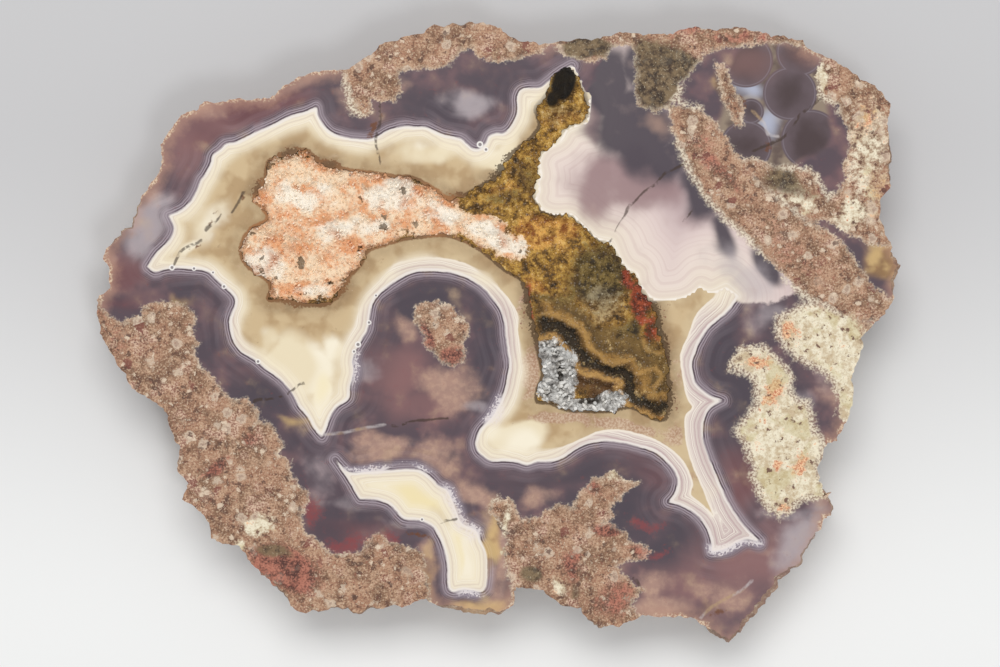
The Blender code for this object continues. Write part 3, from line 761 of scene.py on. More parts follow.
def rock_ground(s, own):
    """Mottled brown-pink ground with knobbly clusters."""
    mottle, fine = own.mottle, own.fine
    colour = s.shade(own.broad, 0.3, 0.7, (136, 102, 78), (166, 124, 98))
    colour = s.mix(s.rise(mottle, 0.50, 0.60, 0.0, 0.85), colour, (188, 152, 124))
    colour = s.mix(s.rise(mottle, 0.47, 0.37, 0.0, 0.9), colour, (96, 64, 50))
    colour = s.mix(s.rise(fine, 0.54, 0.64, 0.0, 0.75), colour, (208, 184, 158))
    colour = s.mix(s.rise(fine, 0.46, 0.36, 0.0, 0.7), colour, (94, 66, 52))
    cluster = s.rise(s.grain(own.where, 0.28, 4.0, 0.62), 0.55, 0.64)
    knobbly = s.shade(fine, 0.40, 0.58, (134, 86, 72), (216, 186, 162))
    return s.mix(s.times(cluster, s.rise(mottle, 0.40, 0.56, 0.3, 0.85)), colour, knobbly)


def rock_pebbles(s, own, colour):
    """Ringed pale pebbles, red pebbles, and pale or dark chips."""
    pebble = s.cells(own.where, s.times(own.scale, 0.45))
    kind = s.channel(pebble["Color"])
    away = s.sum(pebble["Distance"], s.times(own.bend, 0.55))
    pale = s.rise(kind, 0.78, 0.80)
    colour = s.mix(s.times(pale, s.rise(away, 0.46, 0.34, 0.0, 0.75)), colour, (212, 192, 170))
    colour = s.mix(s.times(pale, s.rise(away, 0.26, 0.12, 0.0, 0.6)), colour, (152, 122, 106))
    red = s.rise(kind, 0.10, 0.08)
    colour = s.mix(s.times(red, s.rise(away, 0.42, 0.30, 0.0, 0.7)), colour, (120, 64, 56))
    pale_chip = s.times(s.rise(own.chip_kind, 0.80, 0.84), s.rise(own.chip_near, 0.34, 0.10, 0.0, 0.8))
    colour = s.mix(pale_chip, colour, (226, 206, 182))
    dark_chip = s.times(s.rise(own.chip_kind, 0.12, 0.10), s.rise(own.chip_near, 0.46, 0.30, 0.0, 0.7))
    return s.mix(dark_chip, colour, (84, 58, 48))


def cream_rock(s, own):
    """The rock's cream parts, with orange and greenish patches and dark chips."""
    cream = s.shade(own.mottle, 0.38, 0.62, (198, 178, 146), (238, 230, 206))
    cream = s.mix(s.rise(own.fine, 0.42, 0.30, 0.0, 0.6), cream, (134, 98, 78))
    orange = s.shade(own.fine, 0.4, 0.6, (190, 100, 56), (244, 196, 150))
    cream = s.mix(s.zone("rock_orange", own.uneven, 4.0, 0.35, 0.9, 0.85), cream, orange)
    cream = s.mix(s.rise(own.broad, 0.55, 0.7, 0.0, 0.45), cream, (190, 176, 124))
    spot = s.times(s.rise(own.chip_kind, 0.30, 0.26), s.rise(own.chip_near, 0.30, 0.10, 0.0, 0.85))
    return s.mix(spot, cream, (92, 50, 42))


def rock_group():
    """Host rock: ground, pebbles and chips, with red, cream and dark parts and a weathered skin."""
    group, s, source, sink = new_group("host_rock", {"Grain Scale": 1.0, "Weathering": 0.0},
                                       {"Color": "NodeSocketColor", "Fine": "NodeSocketFloat"})
    own = SimpleNamespace(where=s.spot(), scale=source["Grain Scale"], broad=s.field("cloudy"))
    own.mottle = s.grain(own.where, 0.62, 5.0, 0.72)
    own.fine = s.grain(own.where, s.times(own.scale, 3.1), 3.0, 0.7)
    own.uneven = s.less(own.mottle, 0.5)
    own.bend = s.sum(s.times(own.uneven, 2.4), s.times(s.less(own.fine, 0.5), 1.2))
    chip = s.cells(own.where, s.times(own.scale, 0.95))
    own.chip_kind = s.channel(chip["Color"])
    own.chip_near = s.sum(chip["Distance"], s.times(own.bend, 1.15))
    colour = rock_pebbles(s, own, rock_ground(s, own))
    blend = s.sum(s.times(own.fine, 0.4), s.times(own.mottle, 0.6))
    red = s.shade(blend, 0.43, 0.58, (76, 38, 34), (176, 106, 88))
    colour = s.mix(s.zone("rock_red", own.uneven, 1.3, 0.25, 0.75, 0.85), colour, red)
    specks = s.times(s.rise(s.grain(own.where, 1.5, 2.0), 0.60, 0.70), 0.35)
    colour = s.mix(specks, colour, (152, 86, 70))
    colour = s.mix(s.zone("rock_cream", own.uneven, 1.3, 0.30, 0.62), colour, cream_rock(s, own))
    dark = s.shade(own.mottle, 0.40, 0.60, (44, 34, 22), (118, 100, 72))
    dark = s.mix(s.rise(own.fine, 0.60, 0.70, 0.0, 0.8), dark, (196, 186, 160))
    colour = s.mix(s.zone("rock_dark", own.uneven, 0.9, 0.3, 0.7, 0.9), colour, dark)
    dusty = s.shade(own.mottle, 0.4, 0.65, (140, 112, 92), (176, 150, 128))
    colour = s.mix(s.times(source["Weathering"], 0.45), colour, dusty)
    s.feed(sink["Color"], colour)
    s.feed(sink["Fine"], own.fine)
    return group


# Banded chalcedony

def gap_to(s, where, centre):
    """Distance from a given spot of the face, in millimetres."""
    x, y = place(centre)
    settings = {0: where, 1: (x * 1000, y * 1000, THICKNESS * 1000)}
    return s.node("ShaderNodeVectorMath", settings, operation="DISTANCE").outputs["Value"]


def largest_of(s, sockets):
    """The largest of several values."""
    most = sockets[0]
    for socket in sockets[1:]:
        most = s.largest(most, socket)
    return most


def chalcedony_clouds(s, own):
    """Purple chalcedony outside the pale band, with its clouds and faint bands."""
    base = s.shade(own.cloudy, 0.3, 0.72, between(PURPLE, SLATE, 0.55), between(PURPLE, MAUVE, 0.30))
    base = s.mix(s.field("mauve"), base, MAUVE)
    base = s.mix(s.field("wine"), base, WINE)
    base = s.mix(s.times(s.field("slate"), 0.95), base, SLATE)
    peachy = s.shade(own.middling, -0.08, 0.12, between(PEACH, MAUVE, 0.3), PEACH)
    base = s.mix(s.times(own.lumpy, 0.9), base, peachy)
    base = s.mix(s.times(own.misty, 0.75), base, HAZE)
    faint = s.layers(s.sum(own.out, s.times(own.slow, 2.5)), 1.05, 1.0)
    share = s.times(s.rise(own.out, 6.5, 1.5), s.rise(own.slow, 0.45, 0.7, 0.06, 0.34))
    bands = s.shade(faint, 0.36, 0.64, s.mix(0.5, base, DARK_LINE), s.mix(0.3, base, LILAC_LINE))
    return s.mix(s.times(share, own.strength), base, bands)


def contact_bands(s, own, base):
    """Sharp dark and lilac bands that follow the contact."""
    cloudy, out = own.cloudy, own.out
    sharp = s.layers(s.sum(out, s.times(own.slow, 1.6)), 2.3, 1.0)
    lines = s.ramp(sharp, [
        (0.30, DARK_LINE), (0.46, between(PURPLE, LILAC_LINE, 0.35)), (0.56, DARK_LINE),
        (0.66, between(PURPLE, LILAC_LINE, 0.7)), (0.75, PURPLE)])
    near = s.times(s.rise(out, 2.3, 1.1), s.rise(cloudy, 0.30, 0.60, 0.2, 0.9))
    base = s.mix(s.times(near, own.strength), base, lines)
    glow = s.times(s.rise(out, 1.9, 0.2, 0.0, 0.55), s.rise(cloudy, 0.65, 0.40))
    base = s.mix(glow, base, LILAC_LINE)
    rim = s.ramp(s.over(out, 1.2), [
        (0.0, WHITE_LINE), (0.08, WHITE_LINE), (0.20, between(DARK_LINE, PURPLE, 0.4)), (0.32, DARK_LINE),
        (0.46, LILAC_LINE), (0.60, between(DARK_LINE, PURPLE, 0.5)), (0.8, LILAC_LINE), (1.0, PURPLE)])
    share = s.times(s.rise(out, 1.25, 0.75), s.rise(cloudy, 0.30, 0.62, 0.35, 0.95))
    return s.mix(s.times(share, own.strength), base, rim)


def chalcedony_stains(s, own, base):
    """Snowy teeth along the contact, and gold and crimson stains."""
    out, toothed, tiny = own.out, own.toothed, own.tiny
    snow = s.times(s.rise(s.less(out, s.times(s.less(tiny, 0.34), 4.0)), 0.25, -0.25), toothed)
    base = s.mix(s.times(s.rise(out, 2.6, 0.0, 0.0, 0.55), toothed), base, (150, 142, 156))
    base = s.mix(s.times(snow, 0.85), base, (226, 218, 218))
    golden = s.zone("gold", own.puffy, 0.8, 0.05, 1.2)
    base = s.mix(s.times(golden, 0.8), base, s.shade(own.cloudy, 0.35, 0.65, (158, 122, 74), GOLD))
    breakup = s.sum(s.times(own.middling, 2.0), s.less(tiny, 0.5))
    red_stain = s.zone("crimson", breakup, 1.0, 0.15, 1.2)
    return s.mix(s.times(red_stain, 0.8), base, (134, 66, 68))


def upper_domes(s, own, base):
    """Rounded domes at the upper right, with pale fill between them."""
    cloudy = own.cloudy
    depth = largest_of(s, [s.less(radius * MM_PER_PX, gap_to(s, own.where, centre)) for centre, radius in DOMES_PX])
    bulb = s.shade(s.sum(depth, s.times(cloudy, 3.0)), 1.0, 5.5, (98, 84, 90), (72, 58, 60))
    bulb = s.mix(s.times(s.field("mauve"), 0.8), bulb, (120, 90, 88))
    bulb = s.mix(s.rise(s.size(s.less(depth, 0.35)), 0.14, 0.04, 0.0, 0.18), bulb, (170, 164, 176))
    fill = s.shade(cloudy, 0.35, 0.65, (96, 80, 74), (140, 124, 108))
    fill = s.mix(s.field("haze"), fill, (168, 172, 190))
    return s.mix(s.rise(s.field("domes"), 0.35, 0.65), base, s.shade(depth, -0.12, 0.10, fill, bulb))


def lilac_dome(s, own, base):
    """The lilac dome, white and scalloped at its edge, dark at its heart."""
    lobe = s.field("lobe")
    uneven = s.less(own.cloudy, 0.5)
    dome = s.ramp(s.over(s.sum(lobe, s.times(s.less(own.slow, 0.5), 5.0)), 20.0), [
        (0.0, (226, 214, 196)), (0.20, (226, 211, 202)), (0.40, (216, 198, 194)),
        (0.60, (196, 176, 176)), (0.80, (176, 156, 158)), (1.0, (160, 146, 148))])
    ripple = s.layers(s.sum(lobe, s.times(own.slow, 1.5)), 1.35, 2.0)
    dome = s.mix(s.times(s.rise(ripple, 0.52, 0.38, 0.0, 0.28), s.rise(lobe, 14.0, 4.0)), dome, (196, 172, 168))
    dome = s.mix(s.times(s.rise(lobe, 5.0, 0.0), s.rise(ripple, 0.55, 0.66, 0.0, 0.4)), dome, (238, 230, 220))
    dome = s.mix(s.times(s.zone("dome_mauve", uneven, 0.4, 0.08, 1.0), 0.9), dome, (146, 118, 120))
    dome = s.mix(s.times(s.zone("dome_slate", uneven, 0.3, 0.12, 0.9), 0.97), dome, SLATE)
    dome = s.mix(s.rise(lobe, 0.38, 0.10), dome, (238, 230, 220))
    dome = s.mix(s.times(own.misty, 0.6), dome, HAZE)
    dome = s.mix(s.times(own.lumpy, 0.6), dome, PEACH)
    reach = s.sum(s.field("dome"), s.times(own.middling, s.rise(lobe, 1.0, 4.0, 0.0, 2.0)))
    reach = s.sum(reach, s.rise(lobe, 3.0, 1.0, 0.0, 0.8))
    return s.mix(s.rise(reach, -0.4, 0.4), base, dome)


def edge_skin(s, own, base):
    """Rind skin where chalcedony runs out to the edge."""
    edge = s.sum(s.field("edge"), s.times(own.middling, 2.6))
    skin = s.shade(own.tiny, 0.42, 0.6, (164, 122, 102), (224, 202, 174))
    base = s.mix(s.rise(edge, 3.0, 0.4, 0.0, 0.5), base, (180, 140, 120))
    return s.mix(s.rise(edge, 0.9, 0.1, 0.0, 0.85), base, skin)


def pale_band(s, own):
    """The pale band between the contact and the quartz, cream on the left and pink on the right."""
    contact, quartz, slow, pinkness = own.contact, own.quartz, own.slow, own.pinkness
    width = s.sum(s.size(contact), s.size(quartz))
    share = s.over(contact, s.largest(width, 0.05))
    fine = s.layers(s.sum(contact, s.times(slow, 1.8)), 2.9, 2.0, 0.6)
    start = s.mix(pinkness, between(CREAM, PALE_BAND, 0.4), PINK_BAND)
    pale = s.shade(share, 0.0, 0.9, start, s.mix(pinkness, CREAM, (222, 210, 200)))
    pink_share = s.times(s.rise(fine, 0.54, 0.40), s.rise(share, 1.2, 0.2, 0.1, 0.9))
    pink_share = s.times(pink_share, s.rise(pinkness, 0.1, 0.7, 0.6, 1.0))
    pale = s.mix(pink_share, pale, s.mix(pinkness, (204, 186, 172), PINK_LINE))
    pale = s.mix(s.rise(fine, 0.56, 0.66, 0.0, 0.75), pale, (236, 228, 216))
    white = s.times(s.rise(contact, 0.50, 0.22), s.rise(slow, 0.3, 0.5, 0.3, 0.75))
    pale = s.mix(white, pale, (234, 228, 222))
    edge_glow = s.rise(s.size(s.sum(quartz, 0.16)), 0.26, 0.10)
    pale = s.mix(s.times(edge_glow, s.times(pinkness, 0.8)), pale, (236, 226, 212))
    return s.mix(s.times(own.toothed, s.rise(own.tiny, 0.36, 0.6, 0.3, 0.9)), pale, (230, 220, 214))


def inner_quartz(s, own):
    """Quartz in the middle, cream where it is milky, brownish near the pocket."""
    middling, tiny, cloudy = own.middling, own.tiny, own.cloudy
    inner = s.shade(cloudy, 0.36, 0.66, BEIGE, TAN)
    inner = s.mix(s.rise(middling, 0.12, 0.25, 0.0, 0.3), inner, (118, 92, 68))
    inner = s.mix(s.rise(own.quartz, 2.2, 0.0, 0.0, 0.4), inner, (208, 190, 156))
    milky = s.zone("cream", s.less(cloudy, 0.5), 0.5, 0.22, 0.80)
    creamy = s.shade(own.slow, 0.38, 0.62, (228, 214, 184), (240, 231, 210))
    creamy = s.mix(s.times(s.rise(s.field("gold"), 0.1, 0.8), 0.8), creamy, YELLOW_CREAM)
    inner = s.mix(milky, inner, creamy)
    near_pocket = s.times(s.rise(s.field("pocket"), 3.4, 0.4), s.rise(s.field("stained"), 0.0, 0.6, 0.5, 1.0))
    brownish = s.shade(s.sum(middling, 0.5), 0.35, 0.7, (92, 66, 42), (150, 122, 92))
    inner = s.mix(s.times(near_pocket, s.rise(milky, 0.7, 0.1, 0.0, 0.55)), inner, brownish)
    glint = s.times(s.rise(tiny, 0.66, 0.72), near_pocket)
    inner = s.mix(s.times(glint, 0.5), inner, (226, 212, 190))
    rosy = s.shade(tiny, 0.38, 0.64, (158, 112, 98), (208, 182, 164))
    return s.mix(s.times(s.zone("rosy", middling, 1.4, 0.35, 0.8), 0.55), inner, rosy)


def pocket_stains(s, own, inner):
    """Crimson and brown stains in the quartz around the pocket."""
    speckle = s.less(own.tiny, 0.5)
    stained = s.field("stained")
    inner = s.mix(s.times(s.zone("crimson", speckle, 1.0, 0.55, 0.75), 0.85), inner, (110, 36, 28))
    reach = s.times(s.sum(s.sum(own.middling, speckle), 0.22), s.rise(stained, 0.1, 0.9, 0.45, 3.6))
    stain = s.mix(s.field("pink_zone"), (72, 50, 24), (150, 96, 54))
    stain = s.mix(s.rise(stained, 0.8, 1.2), stain, (46, 40, 24))
    return s.mix(s.rise(s.less(s.field("pocket"), reach), 0.14, -0.14, 0.0, 0.84), inner, stain)


def bubbles_and_cracks(s, own, colour):
    """Bubbles along the contact, as white rings with dark middles, and open and healed cracks."""
    gaps = [s.over(gap_to(s, own.where, centre), radius * MM_PER_PX) for centre, radius in BUBBLES_PX]
    ring = largest_of(s, [s.rise(gap, 1.1, 0.85) for gap in gaps])
    hole = largest_of(s, [s.rise(gap, 0.62, 0.4) for gap in gaps])
    colour = s.mix(s.times(ring, 0.9), colour, (238, 234, 230))
    colour = s.mix(s.times(hole, 0.8), colour, (96, 84, 90))
    ragged = s.times(own.middling, 0.35)
    open_crack = s.rise(s.sum(s.field("crack"), ragged), 0.34, 0.12)
    colour = s.mix(s.times(open_crack, 0.75), colour, (62, 46, 36))
    healed = s.rise(s.sum(s.field("healed"), ragged), 0.42, 0.05)
    return s.mix(s.times(healed, 0.6), colour, s.shade(own.cloudy, 0.4, 0.6, (196, 188, 188), TAN))


def shared_sockets(s, source):
    """The noises, fields and distances that several parts of the banded stone use."""
    own = SimpleNamespace(where=s.spot(), strength=source["Line Strength"])
    own.middling = s.less(s.grain(own.where, 0.75, 4.0, 0.62), 0.5)
    own.tiny = s.grain(own.where, 2.6, 3.0, 0.6)
    own.contact = s.sum(s.field("contact"), s.times(own.middling, 0.30))
    own.quartz = s.sum(s.field("quartz"), s.times(own.middling, 0.30))
    own.out = s.times(own.contact, -1.0)
    own.slow = s.field("slow")
    own.cloudy = s.field("cloudy")
    own.pinkness = s.field("pinkband")
    own.toothed = s.rise(s.field("toothed"), 0.3, 0.7)
    own.puffy = s.sum(s.times(own.middling, 0.35), s.less(own.cloudy, 0.5))
    own.lumpy = s.zone("peach", own.puffy, 0.7, 0.12, 1.0)
    own.misty = s.zone("haze", own.puffy, 0.6, 0.10, 1.0)
    return own


def chalcedony_group(rock):
    """Banded chalcedony with its pale bands, quartz and lilac dome, and host rock where it shows."""
    group, s, source, sink = new_group(
        "banded_agate", {"Line Strength": 1.0, "Grain Scale": 1.0, "Weathering": 0.0},
        {"Color": "NodeSocketColor", "Fine": "NodeSocketFloat", "Rock": "NodeSocketFloat"})
    own = shared_sockets(s, source)
    outside = chalcedony_stains(s, own, contact_bands(s, own, chalcedony_clouds(s, own)))
    outside = edge_skin(s, own, lilac_dome(s, own, upper_domes(s, own, outside)))
    softness = s.rise(own.pinkness, 0.0, 0.6, 1.5, 0.12)
    quartz = pocket_stains(s, own, inner_quartz(s, own))
    inside = s.shade(s.over(own.quartz, softness), -0.7, 1.0, pale_band(s, own), quartz)
    colour = s.shade(own.contact, -0.05, 0.06, outside, inside)
    colour = s.mix(s.times(s.zone("rust", own.middling, 2.2, 0.42, 0.85), 0.85), colour, RUST)
    colour = bubbles_and_cracks(s, own, colour)

    # Host rock, with a ragged contact and a fringe of small crystals
    depth = s.sum(s.field("rock"), s.sum(s.times(own.middling, 2.4), s.times(s.less(own.tiny, 0.5), 1.1)))
    rock_share = s.rise(depth, -0.05, 0.10)
    stone = use_group(s, rock, Grain_Scale=source["Grain Scale"], Weathering=source["Weathering"])
    colour = s.mix(rock_share, colour, stone["Color"])
    spread = s.zone("fringe", own.middling, 0.8, 0.25, 0.7)
    fringe = s.times(s.rise(depth, s.rise(spread, 0.0, 1.0, -0.4, -1.2), 0.1), s.rise(depth, 0.9, 0.2))
    crystals = s.shade(own.tiny, 0.40, 0.58, (150, 126, 108), (226, 214, 192))
    colour = s.mix(s.times(fringe, s.rise(spread, 0.0, 1.0, 0.35, 0.9)), colour, crystals)
    s.feed(sink["Color"], colour)
    s.feed(sink["Fine"], stone["Fine"])
    s.feed(sink["Rock"], rock_share)
    return group


# Finishes of the slice

def new_material(name, colour_of):
    """A material whose parts are fed by a function that gives back its shader inputs by name."""
    material = bpy.data.materials.new(name)
    material.use_nodes = True
    sketch = Sketch(material.node_tree)
    shader = material.node_tree.nodes["Principled BSDF"]
    for label, value in colour_of(sketch).items():
        sketch.feed(shader.inputs[label], value)
    return material


def polished_face(agate):
    """Finish of the polished face: glassy chalcedony, duller rock."""
    def look(s):
        stone = use_group(s, agate, Line_Strength=1.0, Grain_Scale=1.0, Weathering=0.0)
        return {
            "Base Color": stone["Color"],
            "Roughness": s.rise(stone["Rock"], 0.0, 1.0, 0.22, 0.62),
            "Normal": s.bump(s.grain(s.spot(), 2.2, 4.0, 0.7), s.times(stone["Rock"], 0.6), 0.0003),
            "Specular IOR Level": 0.4,
        }
    return new_material("polished_agate_face", look)


def rough_rind(agate):
    """Finish of the broken rind: gritty weathered rock and frosted chalcedony, with painted shade in its crevices."""
    def look(s):
        stone = use_group(s, agate, Line_Strength=0.25, Grain_Scale=0.9, Weathering=0.8)
        where = s.spot()
        skin = s.shade(s.grain(where, 0.28, 4.0, 0.6), 0.35, 0.65, (192, 160, 132), (146, 112, 98))
        skin = s.mix(s.rise(s.grain(where, 1.2, 4.0, 0.7), 0.5, 0.68), skin, (222, 206, 180))
        colour = s.mix(s.rise(stone["Rock"], 0.0, 1.0, 0.62, 0.12), stone["Color"], skin)
        # Painted shade: darker brown patches set by a noise, standing in for shade in the rind's crevices.
        crevice_shade = s.rise(s.grain(where, 0.9, 5.0, 0.7), 0.44, 0.30, 0.0, 0.55)
        height = s.sum(s.grain(where, 1.6, 6.0, 0.7), s.times(s.cells(where, 1.3)["Distance"], 0.5))
        return {
            "Base Color": s.mix(crevice_shade, colour, (92, 70, 56)),
            "Normal": s.bump(height, 0.8, 0.0006),
            "Roughness": s.rise(s.grain(where, 0.8, 3.0), 0.3, 0.7, 0.6, 0.9),
        }
    return new_material("rough_rind", look)


def sawn_back(agate):
    """Finish of the sawn back: the same bands, dulled by saw marks."""
    def look(s):
        stone = use_group(s, agate, Line_Strength=0.7, Grain_Scale=1.0, Weathering=0.15)
        drawn_out = {"Vector": s.spot(), "Rotation": (0.0, 0.0, 0.35), "Scale": (0.06, 2.2, 1.0)}
        marks = s.grain(s.node("ShaderNodeMapping", drawn_out).outputs["Vector"], 1.0, 4.0, 0.6)
        return {
            "Base Color": s.mix(s.rise(marks, 0.4, 0.7, 0.10, 0.28), stone["Color"], (206, 198, 190)),
            "Normal": s.bump(marks, 0.35, 0.0002),
            "Roughness": s.rise(marks, 0.3, 0.7, 0.5, 0.7),
        }
    return new_material("sawn_back", look)


# Finishes of the pocket's lining

def pink_lining(s, own):
    """Pink and white quartz, brown towards the pocket's edge, with painted shade where the crust lies deeper."""
    soft, rough = own.soft, own.rough
    pink = s.shade(s.sum(soft, s.times(rough, 0.6)), -0.16, 0.08, (234, 172, 124), (248, 222, 190))
    pink = s.mix(s.zone("white_quartz", soft, 1.8, 0.15, 0.75), pink, (252, 242, 226))
    # Painted shade: orange-brown where the crust lies deeper, for the shade in the recesses between lumps.
    pink = s.mix(s.rise(own.deep, 0.30, 0.95, 0.0, 0.75), pink, (204, 136, 90))
    brown = s.sum(s.times(s.rise(s.field("pocket"), -2.4, -0.2), 0.8), s.times(rough, 2.2))
    return s.mix(s.rise(brown, 0.60, 0.95, 0.0, 0.85), pink, (150, 92, 46))


def moss_lining(s, own):
    """Brown and gold moss-like crust, with olive, amber, red and ashen parts, and painted shade where it lies deeper.
    """
    mossy, soft, rough = own.mossy, own.soft, own.rough
    moss = s.ramp(mossy, [(0.30, (34, 24, 10)), (0.42, (104, 74, 28)), (0.50, (156, 116, 48)),
                          (0.58, (198, 156, 72)), (0.70, (232, 202, 134))])
    parts = (
        (s.zone("dark_moss", rough, 1.5, 0.25, 0.75, 0.9), 0.38, 0.62, (40, 32, 16), (122, 102, 54)),
        (s.zone("orange_moss", soft, 1.2, 0.25, 0.75, 0.85), 0.36, 0.62, (146, 84, 26), (232, 178, 92)),
        (s.zone("red_moss", rough, 2.0, 0.35, 0.8, 0.9), 0.40, 0.62, (70, 18, 12), (170, 66, 44)),
        (s.zone("grey_moss", rough, 1.6, 0.35, 0.85, 0.4), 0.40, 0.60, (54, 50, 40), (172, 164, 144)),
    )
    for share, start, end, dark, light in parts:
        moss = s.mix(share, moss, s.shade(mossy, start, end, dark, light))
    moss = s.mix(s.zone("shelf_zone", rough, 1.0, 0.3, 0.6), moss, ledge_lining(s, own))
    # Painted shade: near-black brown where the crust lies deeper.
    return s.mix(s.rise(own.deep, 0.3, 1.0, 0.0, 0.6), moss, (36, 26, 14))


def ledge_lining(s, own):
    """Ledges: a light front rim, a shadow behind it and a lighter step further back."""
    behind = s.sum(s.field("ledge"), s.times(own.rough, 3.2))
    shelf = s.ramp(s.over(s.sum(behind, 0.6), 7.0), [
        (0.0, (110, 76, 40)), (0.09, (196, 152, 88)), (0.16, (140, 104, 54)), (0.24, (56, 42, 22)),
        (0.44, (44, 34, 18)), (0.54, (120, 88, 42)), (0.66, (166, 126, 64)), (0.80, (96, 72, 34)),
        (1.0, (120, 92, 44))])
    shelf = s.mix(s.zone("rims", own.rough, 2.4, 0.7, 0.1, 0.65), shelf, (186, 144, 80))
    shelf = s.mix(s.rise(own.mossy, 0.56, 0.70, 0.0, 0.6), shelf, (222, 190, 130))
    return s.mix(s.rise(own.mossy, 0.42, 0.32, 0.0, 0.5), shelf, (40, 28, 14))


def lining_group():
    """Colours of the pocket's lining: pink and white quartz, moss-like ledges, grey druse with painted shade in its
    holes, and the pit painted near-black as shade.
    """
    group, s, source, sink = new_group("pocket_lining", {"Lift": 0.0},
                                       {"Color": "NodeSocketColor", "Quartz": "NodeSocketFloat"})
    where = s.spot()
    # The hollow field sets how much painted shade the crust gets in its recesses.
    own = SimpleNamespace(deep=s.field("hollow"), mossy=s.grain(where, 0.62, 5.0, 0.72))
    own.soft = s.less(s.grain(where, 0.30, 3.0, 0.6), 0.5)
    own.rough = s.less(own.mossy, 0.5)
    grey = s.shade(own.mossy, 0.38, 0.60, (140, 136, 132), (222, 221, 218))
    # Painted shade: dark grey-brown in the druse's holes, where the crust also sinks deeper.
    grey = s.mix(s.zone("druse_hole", own.rough, 1.4, 0.4, 0.8), grey, (66, 60, 54))
    pink_share = s.zone("pink_zone", own.rough, 2.0, 0.36, 0.56)
    druse_share = s.zone("druse_zone", own.rough, 1.2, 0.35, 0.5)
    colour = s.mix(pink_share, moss_lining(s, own), pink_lining(s, own))
    colour = s.mix(druse_share, colour, grey)
    # Painted shade: the deep pit is coloured near black for the shade inside it.
    colour = s.mix(s.zone("shadowed_pit", own.rough, 1.0, 0.35, 0.75, 0.96), colour, (14, 10, 6))
    speck = s.times(s.rise(s.channel(s.cells(where, 0.9)["Color"]), 0.982, 0.988), pink_share)
    colour = s.mix(s.times(speck, 0.8), colour, (92, 70, 42))
    s.feed(sink["Color"], s.mix(source["Lift"], colour, (250, 246, 238)))
    s.feed(sink["Quartz"], s.largest(pink_share, druse_share))
    return group


def crust_finish(lining):
    """Finish of the crust under the crystals."""
    def look(s):
        stuff = use_group(s, lining, Lift=0.0)
        return {
            "Base Color": stuff["Color"],
            "Normal": s.bump(s.grain(s.spot(), 2.4, 4.0, 0.7), 0.8, 0.0004),
            "Roughness": s.rise(stuff["Quartz"], 0.0, 1.0, 0.66, 0.36),
        }
    return new_material("pocket_crust", look)


def grown_finish(name, lining, lift, roughness):
    """Finish of what grows on the crust: its colours there, each crystal or grain of its own tone."""
    def look(s):
        tone = s.field("tone")
        stuff = use_group(s, lining, Lift=s.rise(tone, 0.25, 1.0, 0.0, lift))
        dull = s.times(s.rise(tone, 0.35, 0.0, 0.0, 0.35), s.rise(stuff["Quartz"], 1.0, 0.0))
        return {
            "Base Color": s.mix(dull, stuff["Color"], (96, 70, 44)),
            "Roughness": s.rise(tone, 0.0, 1.0, roughness + 0.15, roughness),
            "IOR": 1.54,
        }
    return new_material(name, look)


# Meshes

def closed_ring(corners, spacing):
    """The corners with even steps between them, so that every corner stays."""
    ring = []
    for here, after in zip(corners, np.roll(corners, -1, axis=0)):
        steps = max(1, round(float(np.linalg.norm(after - here)) / spacing))
        ring.extend(here + (after - here) * step / steps for step in range(steps))
    return np.array(ring)


def outward_normals(ring, reach):
    """Side directions of a clockwise ring, taken over a few neighbours."""
    along = np.roll(ring, -reach, axis=0) - np.roll(ring, reach, axis=0)
    normals = np.stack([-along[:, 1], along[:, 0]], axis=1)
    return normals / np.linalg.norm(normals, axis=1)[:, None]


def rind_show(ring):
    """How far the rind reaches past the polished face at each point of the edge."""
    show = np.zeros(len(ring))
    for centre, reach, width in SLOPING_RIND_PX:
        near = 1.0 - np.linalg.norm(ring - place(centre), axis=1) / (reach * METRES_PER_PX)
        show = np.maximum(show, width * METRES_PER_PX * np.clip(near * 2.0, 0.0, 1.0))
    return show


def rind_insets(ring, show, level):
    """How far the side lies inside the outline at a level from 0, the back, to 1, the face."""
    if level == 1.0:
        return show
    height = level * THICKNESS
    spots = [Vector((x, y, height)) / RIND_LUMP_SIZE + RIND_SEED for x, y in ring]
    lumps = np.array([0.5 + 0.5 * noise.fractal(spot, 0.8, 2.1, 3) for spot in spots])
    grit = np.array([noise.fractal(spot * 9.0, 0.7, 2.2, 3) for spot in spots])
    bite = RIND_BITE * np.clip(lumps, 0.0, 1.0) + GRIT_DEPTH * (0.5 + 0.5 * grit)
    sloping = np.clip(show / (4 * METRES_PER_PX), 0.0, 1.0)
    bite = bite * (1.0 - 0.8 * sloping) + show * 0.45 * sloping * level
    if level == 0.0:
        bite = bite + BACK_EDGE_CHIP
    return bite


def edge_chips(ring):
    """Small nicks along the edge of the polished face."""
    chips = []
    for x, y in ring:
        spot = Vector((x, y, 0.0))
        coarse = max(0.0, noise.fractal(spot / 0.0021, 0.8, 2.0, 3) + 0.15)
        fine = max(0.0, noise.fractal(spot / 0.0007, 0.9, 2.0, 2) + 0.1)
        chips.append(0.00062 * coarse + 0.00034 * fine)
    return np.array(chips)


def folded_points(level, reach):
    """Which points of a ring lie on a stretch that crosses itself."""
    after = np.roll(level, -1, axis=0)
    folded = np.zeros(len(level), dtype=bool)

    def turn(p, q, r):
        return (q[:, 0] - p[:, 0]) * (r[:, 1] - p[:, 1]) - (q[:, 1] - p[:, 1]) * (r[:, 0] - p[:, 0])

    for step in range(2, reach):
        other = np.roll(level, -step, axis=0)
        other_after = np.roll(after, -step, axis=0)
        cross = (turn(level, after, other) * turn(level, after, other_after) < 0)
        cross &= (turn(other, other_after, level) * turn(other, other_after, after) < 0)
        for i in np.nonzero(cross)[0]:
            folded[(i + np.arange(step + 2)) % len(level)] = True
    return folded


